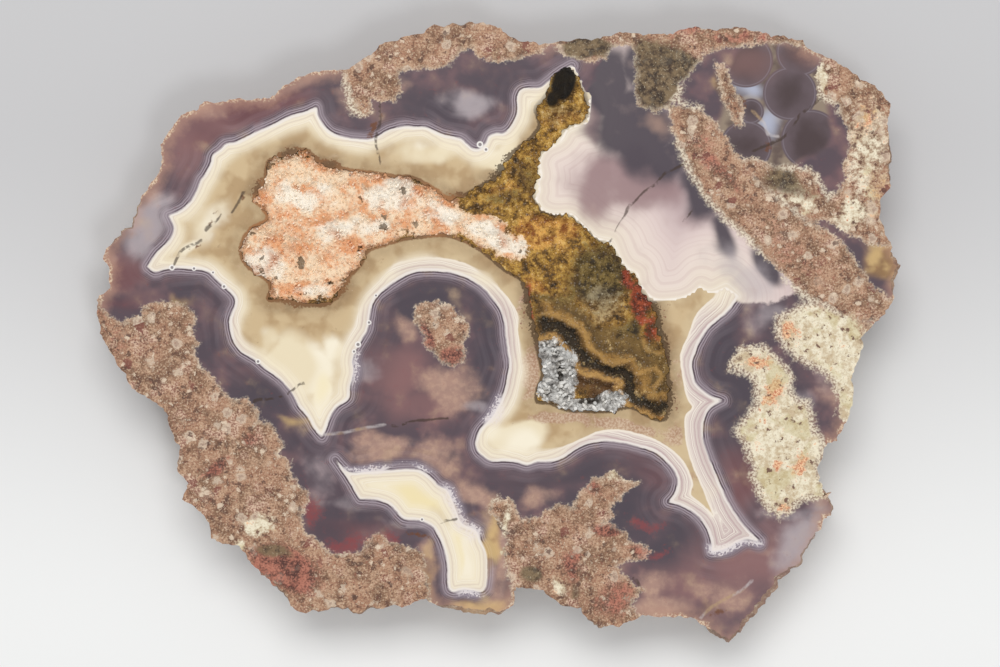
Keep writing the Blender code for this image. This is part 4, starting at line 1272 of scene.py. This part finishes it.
def settled_level(ring, normals, insets):
    """One level of the side, with insets eased wherever the level would fold over itself."""
    for _ in range(16):
        level = ring - normals * insets[:, None]
        folded = folded_points(level, 30)
        if not folded.any():
            break
        insets = np.where(folded, insets * 0.6, insets)
    return level


def hex_points(low, high, spacing):
    """Evenly spread points over a rectangle."""
    rows = int((high[1] - low[1]) / (spacing * HEX_ROW)) + 1
    columns = int((high[0] - low[0]) / spacing) + 1
    x, y = np.meshgrid(np.arange(columns, dtype=float), np.arange(rows, dtype=float))
    x = low[0] + (x + 0.5 * (y % 2)) * spacing
    return np.stack([x.ravel(), (low[1] + y * spacing * HEX_ROW).ravel()], axis=1)


def sheet(rings, spacing, room, lines=()):
    """Triangles over an outer ring less the rings inside it: points, faces, and where each ring's points went."""
    inner = hex_points(rings[0].min(axis=0), rings[0].max(axis=0), spacing)
    inner = inner[signed_distance(inner, rings[0]) > room]
    for hole in rings[1:]:
        inner = inner[signed_distance(inner, hole) < -room]
    for line in lines:
        inner = inner[line_distance(inner, line, False) > spacing * 0.6]
    points = []
    edges = []
    for ring in rings:
        start = len(points)
        points.extend(ring)
        edges.extend((start + i, start + (i + 1) % len(ring)) for i in range(len(ring)))
    for line in lines:
        start = len(points)
        points.extend(line)
        edges.extend((start + i, start + i + 1) for i in range(len(line) - 1))
    points.extend(inner)
    scaled = [Vector((x * 1000, y * 1000)) for x, y in points]
    flat, _, faces, origins, _, _ = delaunay_2d_cdt(scaled, edges, [], 1, 1e-6)
    flat = np.array([(p.x / 1000, p.y / 1000) for p in flat])
    faces = np.array([face for face in faces if len(face) == 3])
    middle = flat[faces].mean(axis=1)
    keep = np.ones(len(faces), dtype=bool)
    for hole in rings[1:]:
        keep &= ~within(middle, hole)
    went = {source: i for i, sources in enumerate(origins) for source in sources}
    places = []
    start = 0
    for ring in rings:
        places.append([went[start + i] for i in range(len(ring))])
        start += len(ring)
    return flat, faces[keep], places


def make_piece(name, points, faces, kinds, materials):
    """A closed mesh object with its faces turned outward."""
    mesh = bpy.data.meshes.new(name)
    mesh.from_pydata([tuple(p) for p in points], [], [tuple(int(i) for i in face) for face in faces])
    for material in materials:
        mesh.materials.append(material)
    mesh.polygons.foreach_set("material_index", np.asarray(kinds, dtype=np.int32))
    bm = bmesh.new()
    bm.from_mesh(mesh)
    loose = [vert for vert in bm.verts if not vert.link_faces]
    bmesh.ops.delete(bm, geom=loose, context="VERTS")
    bmesh.ops.recalc_face_normals(bm, faces=bm.faces)
    bm.to_mesh(mesh)
    bm.free()
    thing = bpy.data.objects.new(name, mesh)
    bpy.context.scene.collection.objects.link(thing)
    return thing


def joined_sheets(parts):
    """Several point-and-face sets as one, with the offset of each."""
    points = np.concatenate([p for p, _ in parts])
    offsets = np.cumsum([0] + [len(p) for p, _ in parts])
    faces = [face + offset for (_, some), offset in zip(parts, offsets) for face in some]
    return points, faces, offsets


def wall_between(low_ring, high_ring):
    """Triangles between two rings of equal count."""
    faces = []
    count = len(low_ring)
    for i in range(count):
        after = (i + 1) % count
        faces.append((low_ring[i], low_ring[after], high_ring[after]))
        faces.append((low_ring[i], high_ring[after], high_ring[i]))
    return faces


def pocket_depth(spots):
    """Depth of the bare pocket below the face: a short wall, then a slope to a floor."""
    return np.minimum(POCKET_DEPTH, POCKET_WALL + POCKET_SLOPE * line_distance(spots, pocket_ring, True))


def toothed_rim():
    """The pocket's edge with small crystal teeth."""
    ring = closed_ring(pocket_ring, 0.00034)
    teeth = []
    for x, y in ring:
        spot = Vector((x, y, 0.0))
        saw = 1.0 - abs(noise.noise(spot / 0.0012)) * 2.4
        teeth.append(0.00050 * saw + 0.00022 * noise.noise(spot / 0.0005))
    return settled_level(ring, outward_normals(ring, 3), np.array(teeth))


def make_slice(finishes):
    """The whole slice as one closed mesh: polished face, rough rind, sawn back and bare pocket."""
    ring = closed_ring(placed(OUTLINE_PX), EDGE_STEP)
    normals = outward_normals(ring, round(NORMAL_REACH / EDGE_STEP))
    show = rind_show(ring)
    levels = [1.0 - i / RIND_ROWS for i in range(RIND_ROWS + 1)]
    insets = np.array([rind_insets(ring, show, level) for level in levels])
    insets += edge_chips(ring) - insets.min(axis=0)
    rows = [settled_level(ring, normals, some) for some in insets]
    edge = toothed_rim()
    cracks = [smooth_line(placed(line), False, FACE_STEP) for line in CRACKS_PX]
    face_flat, face_faces, (face_rim, face_hole) = sheet([rows[0], edge], FACE_STEP, FACE_STEP * 0.55, cracks)
    back_flat, back_faces, (back_rim,) = sheet([rows[-1]], BACK_STEP, BACK_STEP * 0.4)
    floor_flat, floor_faces, (floor_rim,) = sheet([edge], POCKET_STEP, POCKET_STEP * 0.4)
    floor_height = THICKNESS - pocket_depth(floor_flat)
    face_points = np.column_stack([face_flat, np.full(len(face_flat), THICKNESS)])
    back_points = np.column_stack([back_flat, np.zeros(len(back_flat))])
    floor_points = np.column_stack([floor_flat, floor_height])
    side_points = np.concatenate([np.column_stack([row, np.full(len(row), level * THICKNESS)])
                                  for row, level in zip(rows[1:-1], levels[1:-1])])
    points, faces, offsets = joined_sheets([(face_points, face_faces), (back_points, back_faces),
                                            (floor_points, floor_faces), (side_points, np.empty((0, 3), int))])
    kinds = [0] * len(face_faces) + [2] * len(back_faces) + [0] * len(floor_faces)
    count = len(ring)
    ladders = [[int(i) for i in face_rim]]
    ladders += [[int(offsets[3] + k * count + i) for i in range(count)] for k in range(RIND_ROWS - 1)]
    ladders.append([int(offsets[1] + i) for i in back_rim])
    for upper, lower in zip(ladders, ladders[1:]):
        wall = wall_between(lower, upper)
        faces.extend(wall)
        kinds.extend([1] * len(wall))
    wall = wall_between([int(offsets[2] + i) for i in floor_rim], [int(i) for i in face_hole])
    faces.extend(wall)
    kinds.extend([0] * len(wall))
    piece = make_piece("agate_stone", points, faces, kinds, finishes)
    spots = np.array([v.co.xy for v in piece.data.vertices])
    set_fields(piece.data, stone_fields(spots))
    return piece


# Zones of the crust, as soft clouds
CRUST_CLOUDS_PX = {
    "pink_zone": [
        ((300, 228), (66, 74), 0, 1.6), ((360, 205), (60, 42), 0, 1.6), ((425, 212), (44, 26), -10, 1.5),
        ((478, 228), (36, 16), -20, 1.4), ((510, 245), (22, 14), -40, 1.1),
    ],
    "white_quartz": [
        ((300, 195), (30, 14), 0, 0.9), ((395, 190), (34, 16), 0, 0.9), ((335, 230), (26, 14), 0, 0.7),
        ((262, 262), (20, 22), 0, 0.9), ((440, 212), (22, 14), -20, 0.8), ((500, 238), (40, 10), -25, 1.0),
        ((310, 290), (26, 10), 0, 0.6), ((375, 225), (20, 14), 0, 0.6),
    ],
    "druse_zone": [((556, 374), (20, 34), 0, 1.5), ((590, 403), (36, 9), 0, 1.5), ((548, 352), (12, 14), 0, 1.2)],
    "druse_hole": [((560, 370), (5, 16), 10, 1.2), ((592, 398), (16, 5), 0, 1.0), ((545, 392), (5, 6), 0, 0.8)],
    "shelf_zone": [((575, 345), (50, 32), -40, 1.3), ((630, 380), (44, 46), 0, 1.3), ((600, 345), (30, 26), 0, 0.9)],
    "dark_moss": [((600, 275), (34, 36), -30, 1.0), ((560, 300), (36, 16), 0, 0.6), ((530, 175), (20, 24), 0, 0.5),
                  ((630, 335), (14, 22), 0, 0.9), ((505, 195), (26, 14), 0, 0.5)],
    "orange_moss": [((535, 235), (34, 16), -20, 0.9), ((560, 225), (30, 12), -15, 0.8), ((585, 340), (20, 20), 0, 0.5),
                    ((560, 118), (24, 10), 0, 0.5), ((500, 185), (20, 10), 0, 0.5), ((540, 285), (24, 12), -40, 0.6)],
    "red_moss": [((640, 300), (14, 30), 0, 1.0), ((630, 280), (10, 12), 0, 0.9), ((655, 330), (12, 24), 0, 0.8),
                 ((528, 300), (8, 26), 0, 0.8), ((662, 385), (8, 14), 0, 0.8), ((655, 418), (14, 6), 0, 0.5)],
    "grey_moss": [((605, 305), (24, 26), 0, 0.8), ((612, 340), (16, 16), 0, 0.7), ((590, 300), (18, 12), 0, 0.6),
                  ((560, 112), (26, 14), 0, 0.6)],
    "shadowed_pit": [((563, 82), (11, 18), -32, 1.3), ((553, 98), (8, 10), -32, 1.0)],
}


def crust_fields(spots):
    """Zones of the crust at each spot, and distances in millimetres."""
    soft = swirl(spots, 0.004, 0.0016, 8.0)
    fields = {name: cloud(soft, table) for name, table in CRUST_CLOUDS_PX.items()}
    lines = [smooth_line(placed(line), False, CURVE_STEP) for line in LEDGES_PX]
    flat_spots = spots
    spots = swirl(swirl(spots, 0.0030, 0.0008, 2.0), 0.0011, 0.0003, 6.0)
    fields["rims"] = np.min([line_distance(spots, line, False) for line in lines], axis=0) * 1000
    front = np.concatenate([lines[0], lines[1]])
    behind = np.where(within(spots, np.concatenate([front, placed(LEDGE_BACK_PX)])), 1.0, -1.0)
    fields["ledge"] = behind * line_distance(spots, front, False) * 1000
    bare = np.clip(fields["pink_zone"] + fields["druse_zone"] + fields["shadowed_pit"], 0.0, 1.0)
    fields["moss_zone"] = 1.0 - bare
    fields["pocket"] = -signed_distance(flat_spots, pocket_ring) * 1000
    return fields


def worn_cells(spots, size, seed):
    """Distance to the nearest lump centre, from 0 to about 1."""
    return np.array([noise.voronoi(Vector((x / size, y / size, seed)))[0][0] for x, y in spots])


# Steps of the ledges: distance behind the front rim, and depth below the face there
LEDGE_STEPS_MM = (-1.2, -0.1, 0.2, 0.9, 1.5, 2.4, 3.2, 6.0)
LEDGE_DEPTHS_MM = (2.4, 0.8, 0.4, 0.5, 1.9, 1.8, 0.8, 1.1)


def crust_depth(spots, fields):
    """Depth of the crust's surface below the polished face, and how hollow each spot is, which the lining turns into
    painted shade.
    """
    huge = worn_cells(spots, 0.0046, 2.0)
    big = worn_cells(spots, 0.0021, 1.0)
    small = worn_cells(spots, 0.0009, 5.0)
    rough = np.array([noise.fractal(Vector((x, y, 0.0)) / 0.0013, 0.8, 2.1, 4) for x, y in spots])
    broad = np.array([noise.fractal(Vector((x, y, 4.0)) / 0.009, 0.9, 2.0, 2) for x, y in spots])
    pink = np.clip(fields["pink_zone"], 0.0, 1.0)
    druse = np.clip(fields["druse_zone"], 0.0, 1.0)
    shelf = np.clip(fields["shelf_zone"] * 1.5, 0.0, 1.0)
    quartz_depth = 0.0003 + 0.0016 * huge ** 2 + 0.0013 * big ** 2 + 0.0006 * small ** 2 + 0.0006 * broad
    moss_depth = 0.0010 + 0.0006 * small + 0.0007 * rough + 0.0007 * broad
    steps = np.interp(fields["ledge"], LEDGE_STEPS_MM, LEDGE_DEPTHS_MM) / 1000
    raised = np.interp(fields["rims"], (0.0, 0.7, 1.3), (0.4, 0.55, 3.0)) / 1000
    ledge_depth = np.minimum(steps, raised) + 0.00035 * rough + 0.0002 * small
    druse_depth = 0.0016 + 0.0009 * big ** 2 + 0.0006 * small + 0.0022 * np.clip(fields["druse_hole"], 0.0, 1.0)
    depth = moss_depth * (1.0 - shelf) + ledge_depth * shelf
    depth = depth * (1.0 - pink) + quartz_depth * pink
    depth = depth * (1.0 - druse) + druse_depth * druse
    depth = depth + 0.0042 * np.clip(fields["shadowed_pit"] * 1.3, 0.0, 1.0)
    hollow = np.clip(depth * 1000 / 2.6 - 0.25, 0.0, 1.0) * 0.7 + 0.5 * np.clip(big - 0.5, 0.0, 1.0)
    return depth, np.clip(hollow, 0.0, 1.0)


def make_crust(finish):
    """The crust that lines the pocket, one closed mesh above the bare floor."""
    edge = toothed_rim()
    rim = settled_level(edge, outward_normals(edge, 2), np.full(len(edge), CRUST_GAP))
    flat, faces, (top_rim,) = sheet([rim], CRUST_STEP, CRUST_STEP * 0.6)
    fields = crust_fields(flat)
    depth, hollow = crust_depth(flat, fields)
    wall = np.clip(-fields["pocket"] / 0.9, 0.0, 1.0)
    depth = np.clip(depth * wall + 0.00025 * (1.0 - wall), 0.00012, None)
    room = pocket_depth(flat) - 0.0005
    depth = np.minimum(depth, np.maximum(room - 0.0004, 0.0003))
    depth[top_rim] = 0.0002
    low_flat, low_faces, (low_rim,) = sheet([rim], 0.0016, 0.0006)
    low_depth = np.clip(pocket_depth(low_flat) - 0.00045, POCKET_WALL - 0.0001, None)
    low_depth[low_rim] = POCKET_WALL - 0.0001
    top = np.column_stack([flat, THICKNESS - depth])
    low = np.column_stack([low_flat, THICKNESS - low_depth])
    points, faces, offsets = joined_sheets([(top, faces), (low, low_faces)])
    faces.extend(wall_between([int(offsets[1] + i) for i in low_rim], [int(i) for i in top_rim]))
    piece = make_piece("pocket_crust", points, faces, [0] * len(faces), [finish])
    spots = np.array([v.co.xy for v in piece.data.vertices])
    final = crust_fields(spots)
    final["hollow"] = crust_depth(spots, final)[1]
    set_fields(piece.data, final)
    for polygon in piece.data.polygons:
        polygon.use_smooth = True
    return piece


# Geometry Nodes: small crystals and grains grown on the crust

# Upward share of a face's normal and mask value past which things grow there
LEAST_UPWARD = 0.3
LEAST_MASK = 0.45

# Most starting points to a square metre, and how far everything grown stays below the polished face, in metres
DENSEST = 4000000.0
FACE_ROOM = 0.00004

# What grows: name, shape, mask, spacing, smallest and largest size, lean, seed, and the finish's lift and roughness
GROWTHS = (
    ("quartz_points", "point", "pink_zone", 0.00055, 0.00035, 0.0008, 0.5, 3, 0.3, 0.24),
    ("grey_druse", "point", "druse_zone", 0.00060, 0.0006, 0.0014, 0.6, 7, 0.5, 0.18),
    ("moss_grains", "lump", "moss_zone", 0.00036, 0.00022, 0.00052, 0.9, 5, 0.08, 0.5),
)


def quartz_point(name, sides, tip_share):
    """A six-sided point: a short prism with a sharp tip, one unit tall."""
    mesh = bpy.data.meshes.new(name)
    bm = bmesh.new()
    rings = []
    for z, radius in ((0.0, 0.30), (1.0 - tip_share, 0.26)):
        ring = []
        for i in range(sides):
            angle = math.tau * i / sides
            ring.append(bm.verts.new((radius * math.cos(angle), radius * math.sin(angle), z)))
        rings.append(ring)
    tip = bm.verts.new((0.03, 0.02, 1.0))
    for i in range(sides):
        after = (i + 1) % sides
        bm.faces.new((rings[0][i], rings[0][after], rings[1][after], rings[1][i]))
        bm.faces.new((rings[1][i], rings[1][after], tip))
    bm.faces.new(list(reversed(rings[0])))
    bm.to_mesh(mesh)
    bm.free()
    return bpy.data.objects.new(name, mesh)


def grain_lump(name):
    """A small faceted lump, one unit wide."""
    mesh = bpy.data.meshes.new(name)
    bm = bmesh.new()
    bmesh.ops.create_icosphere(bm, subdivisions=1, radius=0.5)
    for vert in bm.verts:
        vert.co *= 1.0 + 0.25 * noise.noise(vert.co * 3.0)
    bm.to_mesh(mesh)
    bm.free()
    return bpy.data.objects.new(name, mesh)


def inputs_of(tree):
    """The names of a tree's inputs with the keys that a modifier knows them by."""
    return {item.name: item.identifier for item in tree.interface.items_tree if item.in_out == "INPUT"}


def scatter_tree():
    """Spreads one shape over the upward faces where a mask is set, in random turns and sizes, as real mesh."""
    tree = bpy.data.node_groups.new("grown_points", "GeometryNodeTree")
    for label, kind in (("Geometry", "Geometry"), ("Shape", "Object"), ("Spacing", "Float"), ("Smallest", "Float"),
                        ("Largest", "Float"), ("Lean", "Float"), ("Seed", "Int"), ("Mask", "String"),
                        ("Finish", "Material")):
        tree.interface.new_socket(label, in_out="INPUT", socket_type="NodeSocket" + kind)
    tree.interface.new_socket("Geometry", in_out="OUTPUT", socket_type="NodeSocketGeometry")
    s = Sketch(tree)
    source = s.node("NodeGroupInput").outputs
    seed = source["Seed"]

    def above(value, limit):
        node = s.node("FunctionNodeCompare", {0: value, 1: limit}, data_type="FLOAT", operation="GREATER_THAN")
        return node.outputs["Result"]

    mask = s.node("GeometryNodeInputNamedAttribute", {"Name": source["Mask"]}, data_type="FLOAT")
    facing = s.node("ShaderNodeSeparateXYZ", {0: s.node("GeometryNodeInputNormal").outputs["Normal"]})
    chosen = s.node("FunctionNodeBooleanMath", {
        0: above(facing.outputs["Z"], LEAST_UPWARD), 1: above(mask.outputs["Attribute"], LEAST_MASK)}, operation="AND")
    spread = s.node("GeometryNodeDistributePointsOnFaces", distribute_method="POISSON")
    for key, value in (("Mesh", source["Geometry"]), ("Selection", chosen.outputs["Boolean"]),
                       ("Density Max", DENSEST), ("Distance Min", source["Spacing"]), ("Seed", seed)):
        s.feed(spread.inputs[key], value)
    lean = source["Lean"]
    other_way = s.times(lean, -1.0)
    low = s.node("ShaderNodeCombineXYZ", {"X": other_way, "Y": other_way}).outputs[0]
    high = s.node("ShaderNodeCombineXYZ", {"X": lean, "Y": lean, "Z": math.tau}).outputs[0]
    tilt = s.node("FunctionNodeRandomValue", {"Min": low, "Max": high, "Seed": seed}, data_type="FLOAT_VECTOR")
    turn = s.node("FunctionNodeRotateRotation", {
        "Rotation": spread.outputs["Rotation"], "Rotate By": tilt.outputs["Value"]}, rotation_space="LOCAL")
    size = s.node("FunctionNodeRandomValue", {2: source["Smallest"], 3: source["Largest"], "Seed": seed},
                  data_type="FLOAT")
    shape = s.node("GeometryNodeObjectInfo", {"Object": source["Shape"]})
    grow = s.node("GeometryNodeInstanceOnPoints", {
        "Points": spread.outputs["Points"], "Instance": shape.outputs["Geometry"],
        "Rotation": turn.outputs["Rotation"], "Scale": size.outputs[1]})
    tone = s.node("FunctionNodeRandomValue", data_type="FLOAT")
    store = s.node("GeometryNodeStoreNamedAttribute", {
        "Geometry": grow.outputs["Instances"], "Name": "tone", "Value": tone.outputs[1]},
        data_type="FLOAT", domain="INSTANCE")
    real = s.node("GeometryNodeRealizeInstances", {"Geometry": store.outputs["Geometry"]})
    finish = s.node("GeometryNodeSetMaterial", {"Geometry": real.outputs["Geometry"], "Material": source["Finish"]})
    s.node("NodeGroupOutput", {"Geometry": finish.outputs["Geometry"]})
    return tree


def grown(name, base, tree, **values):
    """A plain mesh piece of everything that the tree grows on a base."""
    carrier = bpy.data.objects.new(name + "_carrier", base.data)
    bpy.context.scene.collection.objects.link(carrier)
    modifier = carrier.modifiers.new("grow", "NODES")
    modifier.node_group = tree
    sockets = inputs_of(tree)
    for key, value in values.items():
        modifier[sockets[key]] = value
    bpy.context.view_layer.update()
    depsgraph = bpy.context.evaluated_depsgraph_get()
    mesh = bpy.data.meshes.new_from_object(carrier.evaluated_get(depsgraph), depsgraph=depsgraph)
    bpy.data.objects.remove(carrier)
    mesh.name = name
    for vert in mesh.vertices:
        vert.co.z = min(vert.co.z, THICKNESS - FACE_ROOM)
    piece = bpy.data.objects.new(name, mesh)
    bpy.context.scene.collection.objects.link(piece)
    return piece


# Stage, light and camera

def make_floor():
    """A plain pale floor with painted shading: a little darker towards the upper edge of the view."""
    mesh = bpy.data.meshes.new("pale_floor")
    corners = [(x * FLOOR_HALF, y * FLOOR_HALF, FLOOR_HEIGHT) for x, y in ((-1, -1), (1, -1), (1, 1), (-1, 1))]
    mesh.from_pydata(corners, [], [(0, 1, 2, 3)])

    def look(s):
        split = s.node("ShaderNodeSeparateXYZ", {0: s.spot()})
        # Painted light: grey at the far edge turning near white towards the camera, standing in for the fall of light
        # across the floor.
        near = s.rise(split.outputs["Y"], 40.0, -55.0)
        return {
            "Base Color": s.ramp(near, [(0.0, (196, 196, 198)), (1.0, (236, 237, 237))]),
            "Roughness": 0.9,
            "Specular IOR Level": 0.1,
        }

    mesh.materials.append(new_material("pale_floor_paper", look))
    floor = bpy.data.objects.new("pale_floor", mesh)
    bpy.context.scene.collection.objects.link(floor)
    return floor


def aim(thing, target):
    """Turns a lamp or camera to look at a point."""
    thing.rotation_euler = (Vector(target) - thing.location).to_track_quat("-Z", "Y").to_euler()


def area_light(name, location, size, power, tint):
    """One soft rectangular lamp that looks at the slice."""
    data = bpy.data.lights.new(name, "AREA")
    data.shape = "RECTANGLE"
    data.size, data.size_y = size
    data.energy = power
    data.color = tint
    lamp = bpy.data.objects.new(name, data)
    lamp.location = location
    bpy.context.scene.collection.objects.link(lamp)
    aim(lamp, (0.0, 0.0, 0.0))


def make_camera():
    """Looks straight down on the polished face, as in the view of the outlines."""
    data = bpy.data.cameras.new("camera")
    data.lens = LENS_MM
    data.sensor_width = SENSOR_MM
    data.clip_start = 0.01
    camera = bpy.data.objects.new("camera", data)
    away = VIEW_WIDTH_PX * METRES_PER_PX * LENS_MM / SENSOR_MM
    camera.location = (0.0, 0.0, THICKNESS + away)
    bpy.context.scene.collection.objects.link(camera)
    bpy.context.scene.camera = camera


def light_the_room():
    """Even white surroundings and a large soft lamp beyond the top edge."""
    world = bpy.data.worlds.new("soft_room")
    world.use_nodes = True
    background = world.node_tree.nodes["Background"]
    background.inputs["Color"].default_value = (1.0, 1.0, 1.0, 1.0)
    background.inputs["Strength"].default_value = 0.50
    bpy.context.scene.world = world
    area_light("top_window", (-0.05, 0.40, 0.78), (0.70, 0.40), 4.3, (1.0, 0.985, 0.96))
    area_light("side_fill", (0.25, -0.38, 0.95), (0.25, 0.25), 1.9, (0.97, 0.985, 1.0))
    bpy.context.scene.view_settings.view_transform = "Standard"


def grown_pieces(crust, lining):
    """The quartz points, druse and moss grains on the crust."""
    tree = scatter_tree()
    shapes = {"point": quartz_point("point_shape", 6, 0.42), "lump": grain_lump("lump_shape")}
    pieces = []
    for name, shape, mask, spacing, smallest, largest, lean, seed, lift, roughness in GROWTHS:
        finish = grown_finish(name, lining, lift, roughness)
        pieces.append(grown(name, crust, tree, Shape=shapes[shape], Spacing=spacing, Smallest=smallest,
                            Largest=largest, Lean=lean, Seed=seed, Mask=mask, Finish=finish))
    return pieces


def main():
    """Builds every piece, lights it and hands it to the frame."""
    noise.seed_set(NOISE_SEED)
    light_the_room()
    make_camera()
    floor = make_floor()
    agate = chalcedony_group(rock_group())
    stone = make_slice([polished_face(agate), rough_rind(agate), sawn_back(agate)])
    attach(stone, "root")
    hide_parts("agate_slice")
    lining = lining_group()
    crust = make_crust(crust_finish(lining))
    for piece in [crust] + grown_pieces(crust, lining):
        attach(piece, "root")
        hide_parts("crystal_crust")


main()
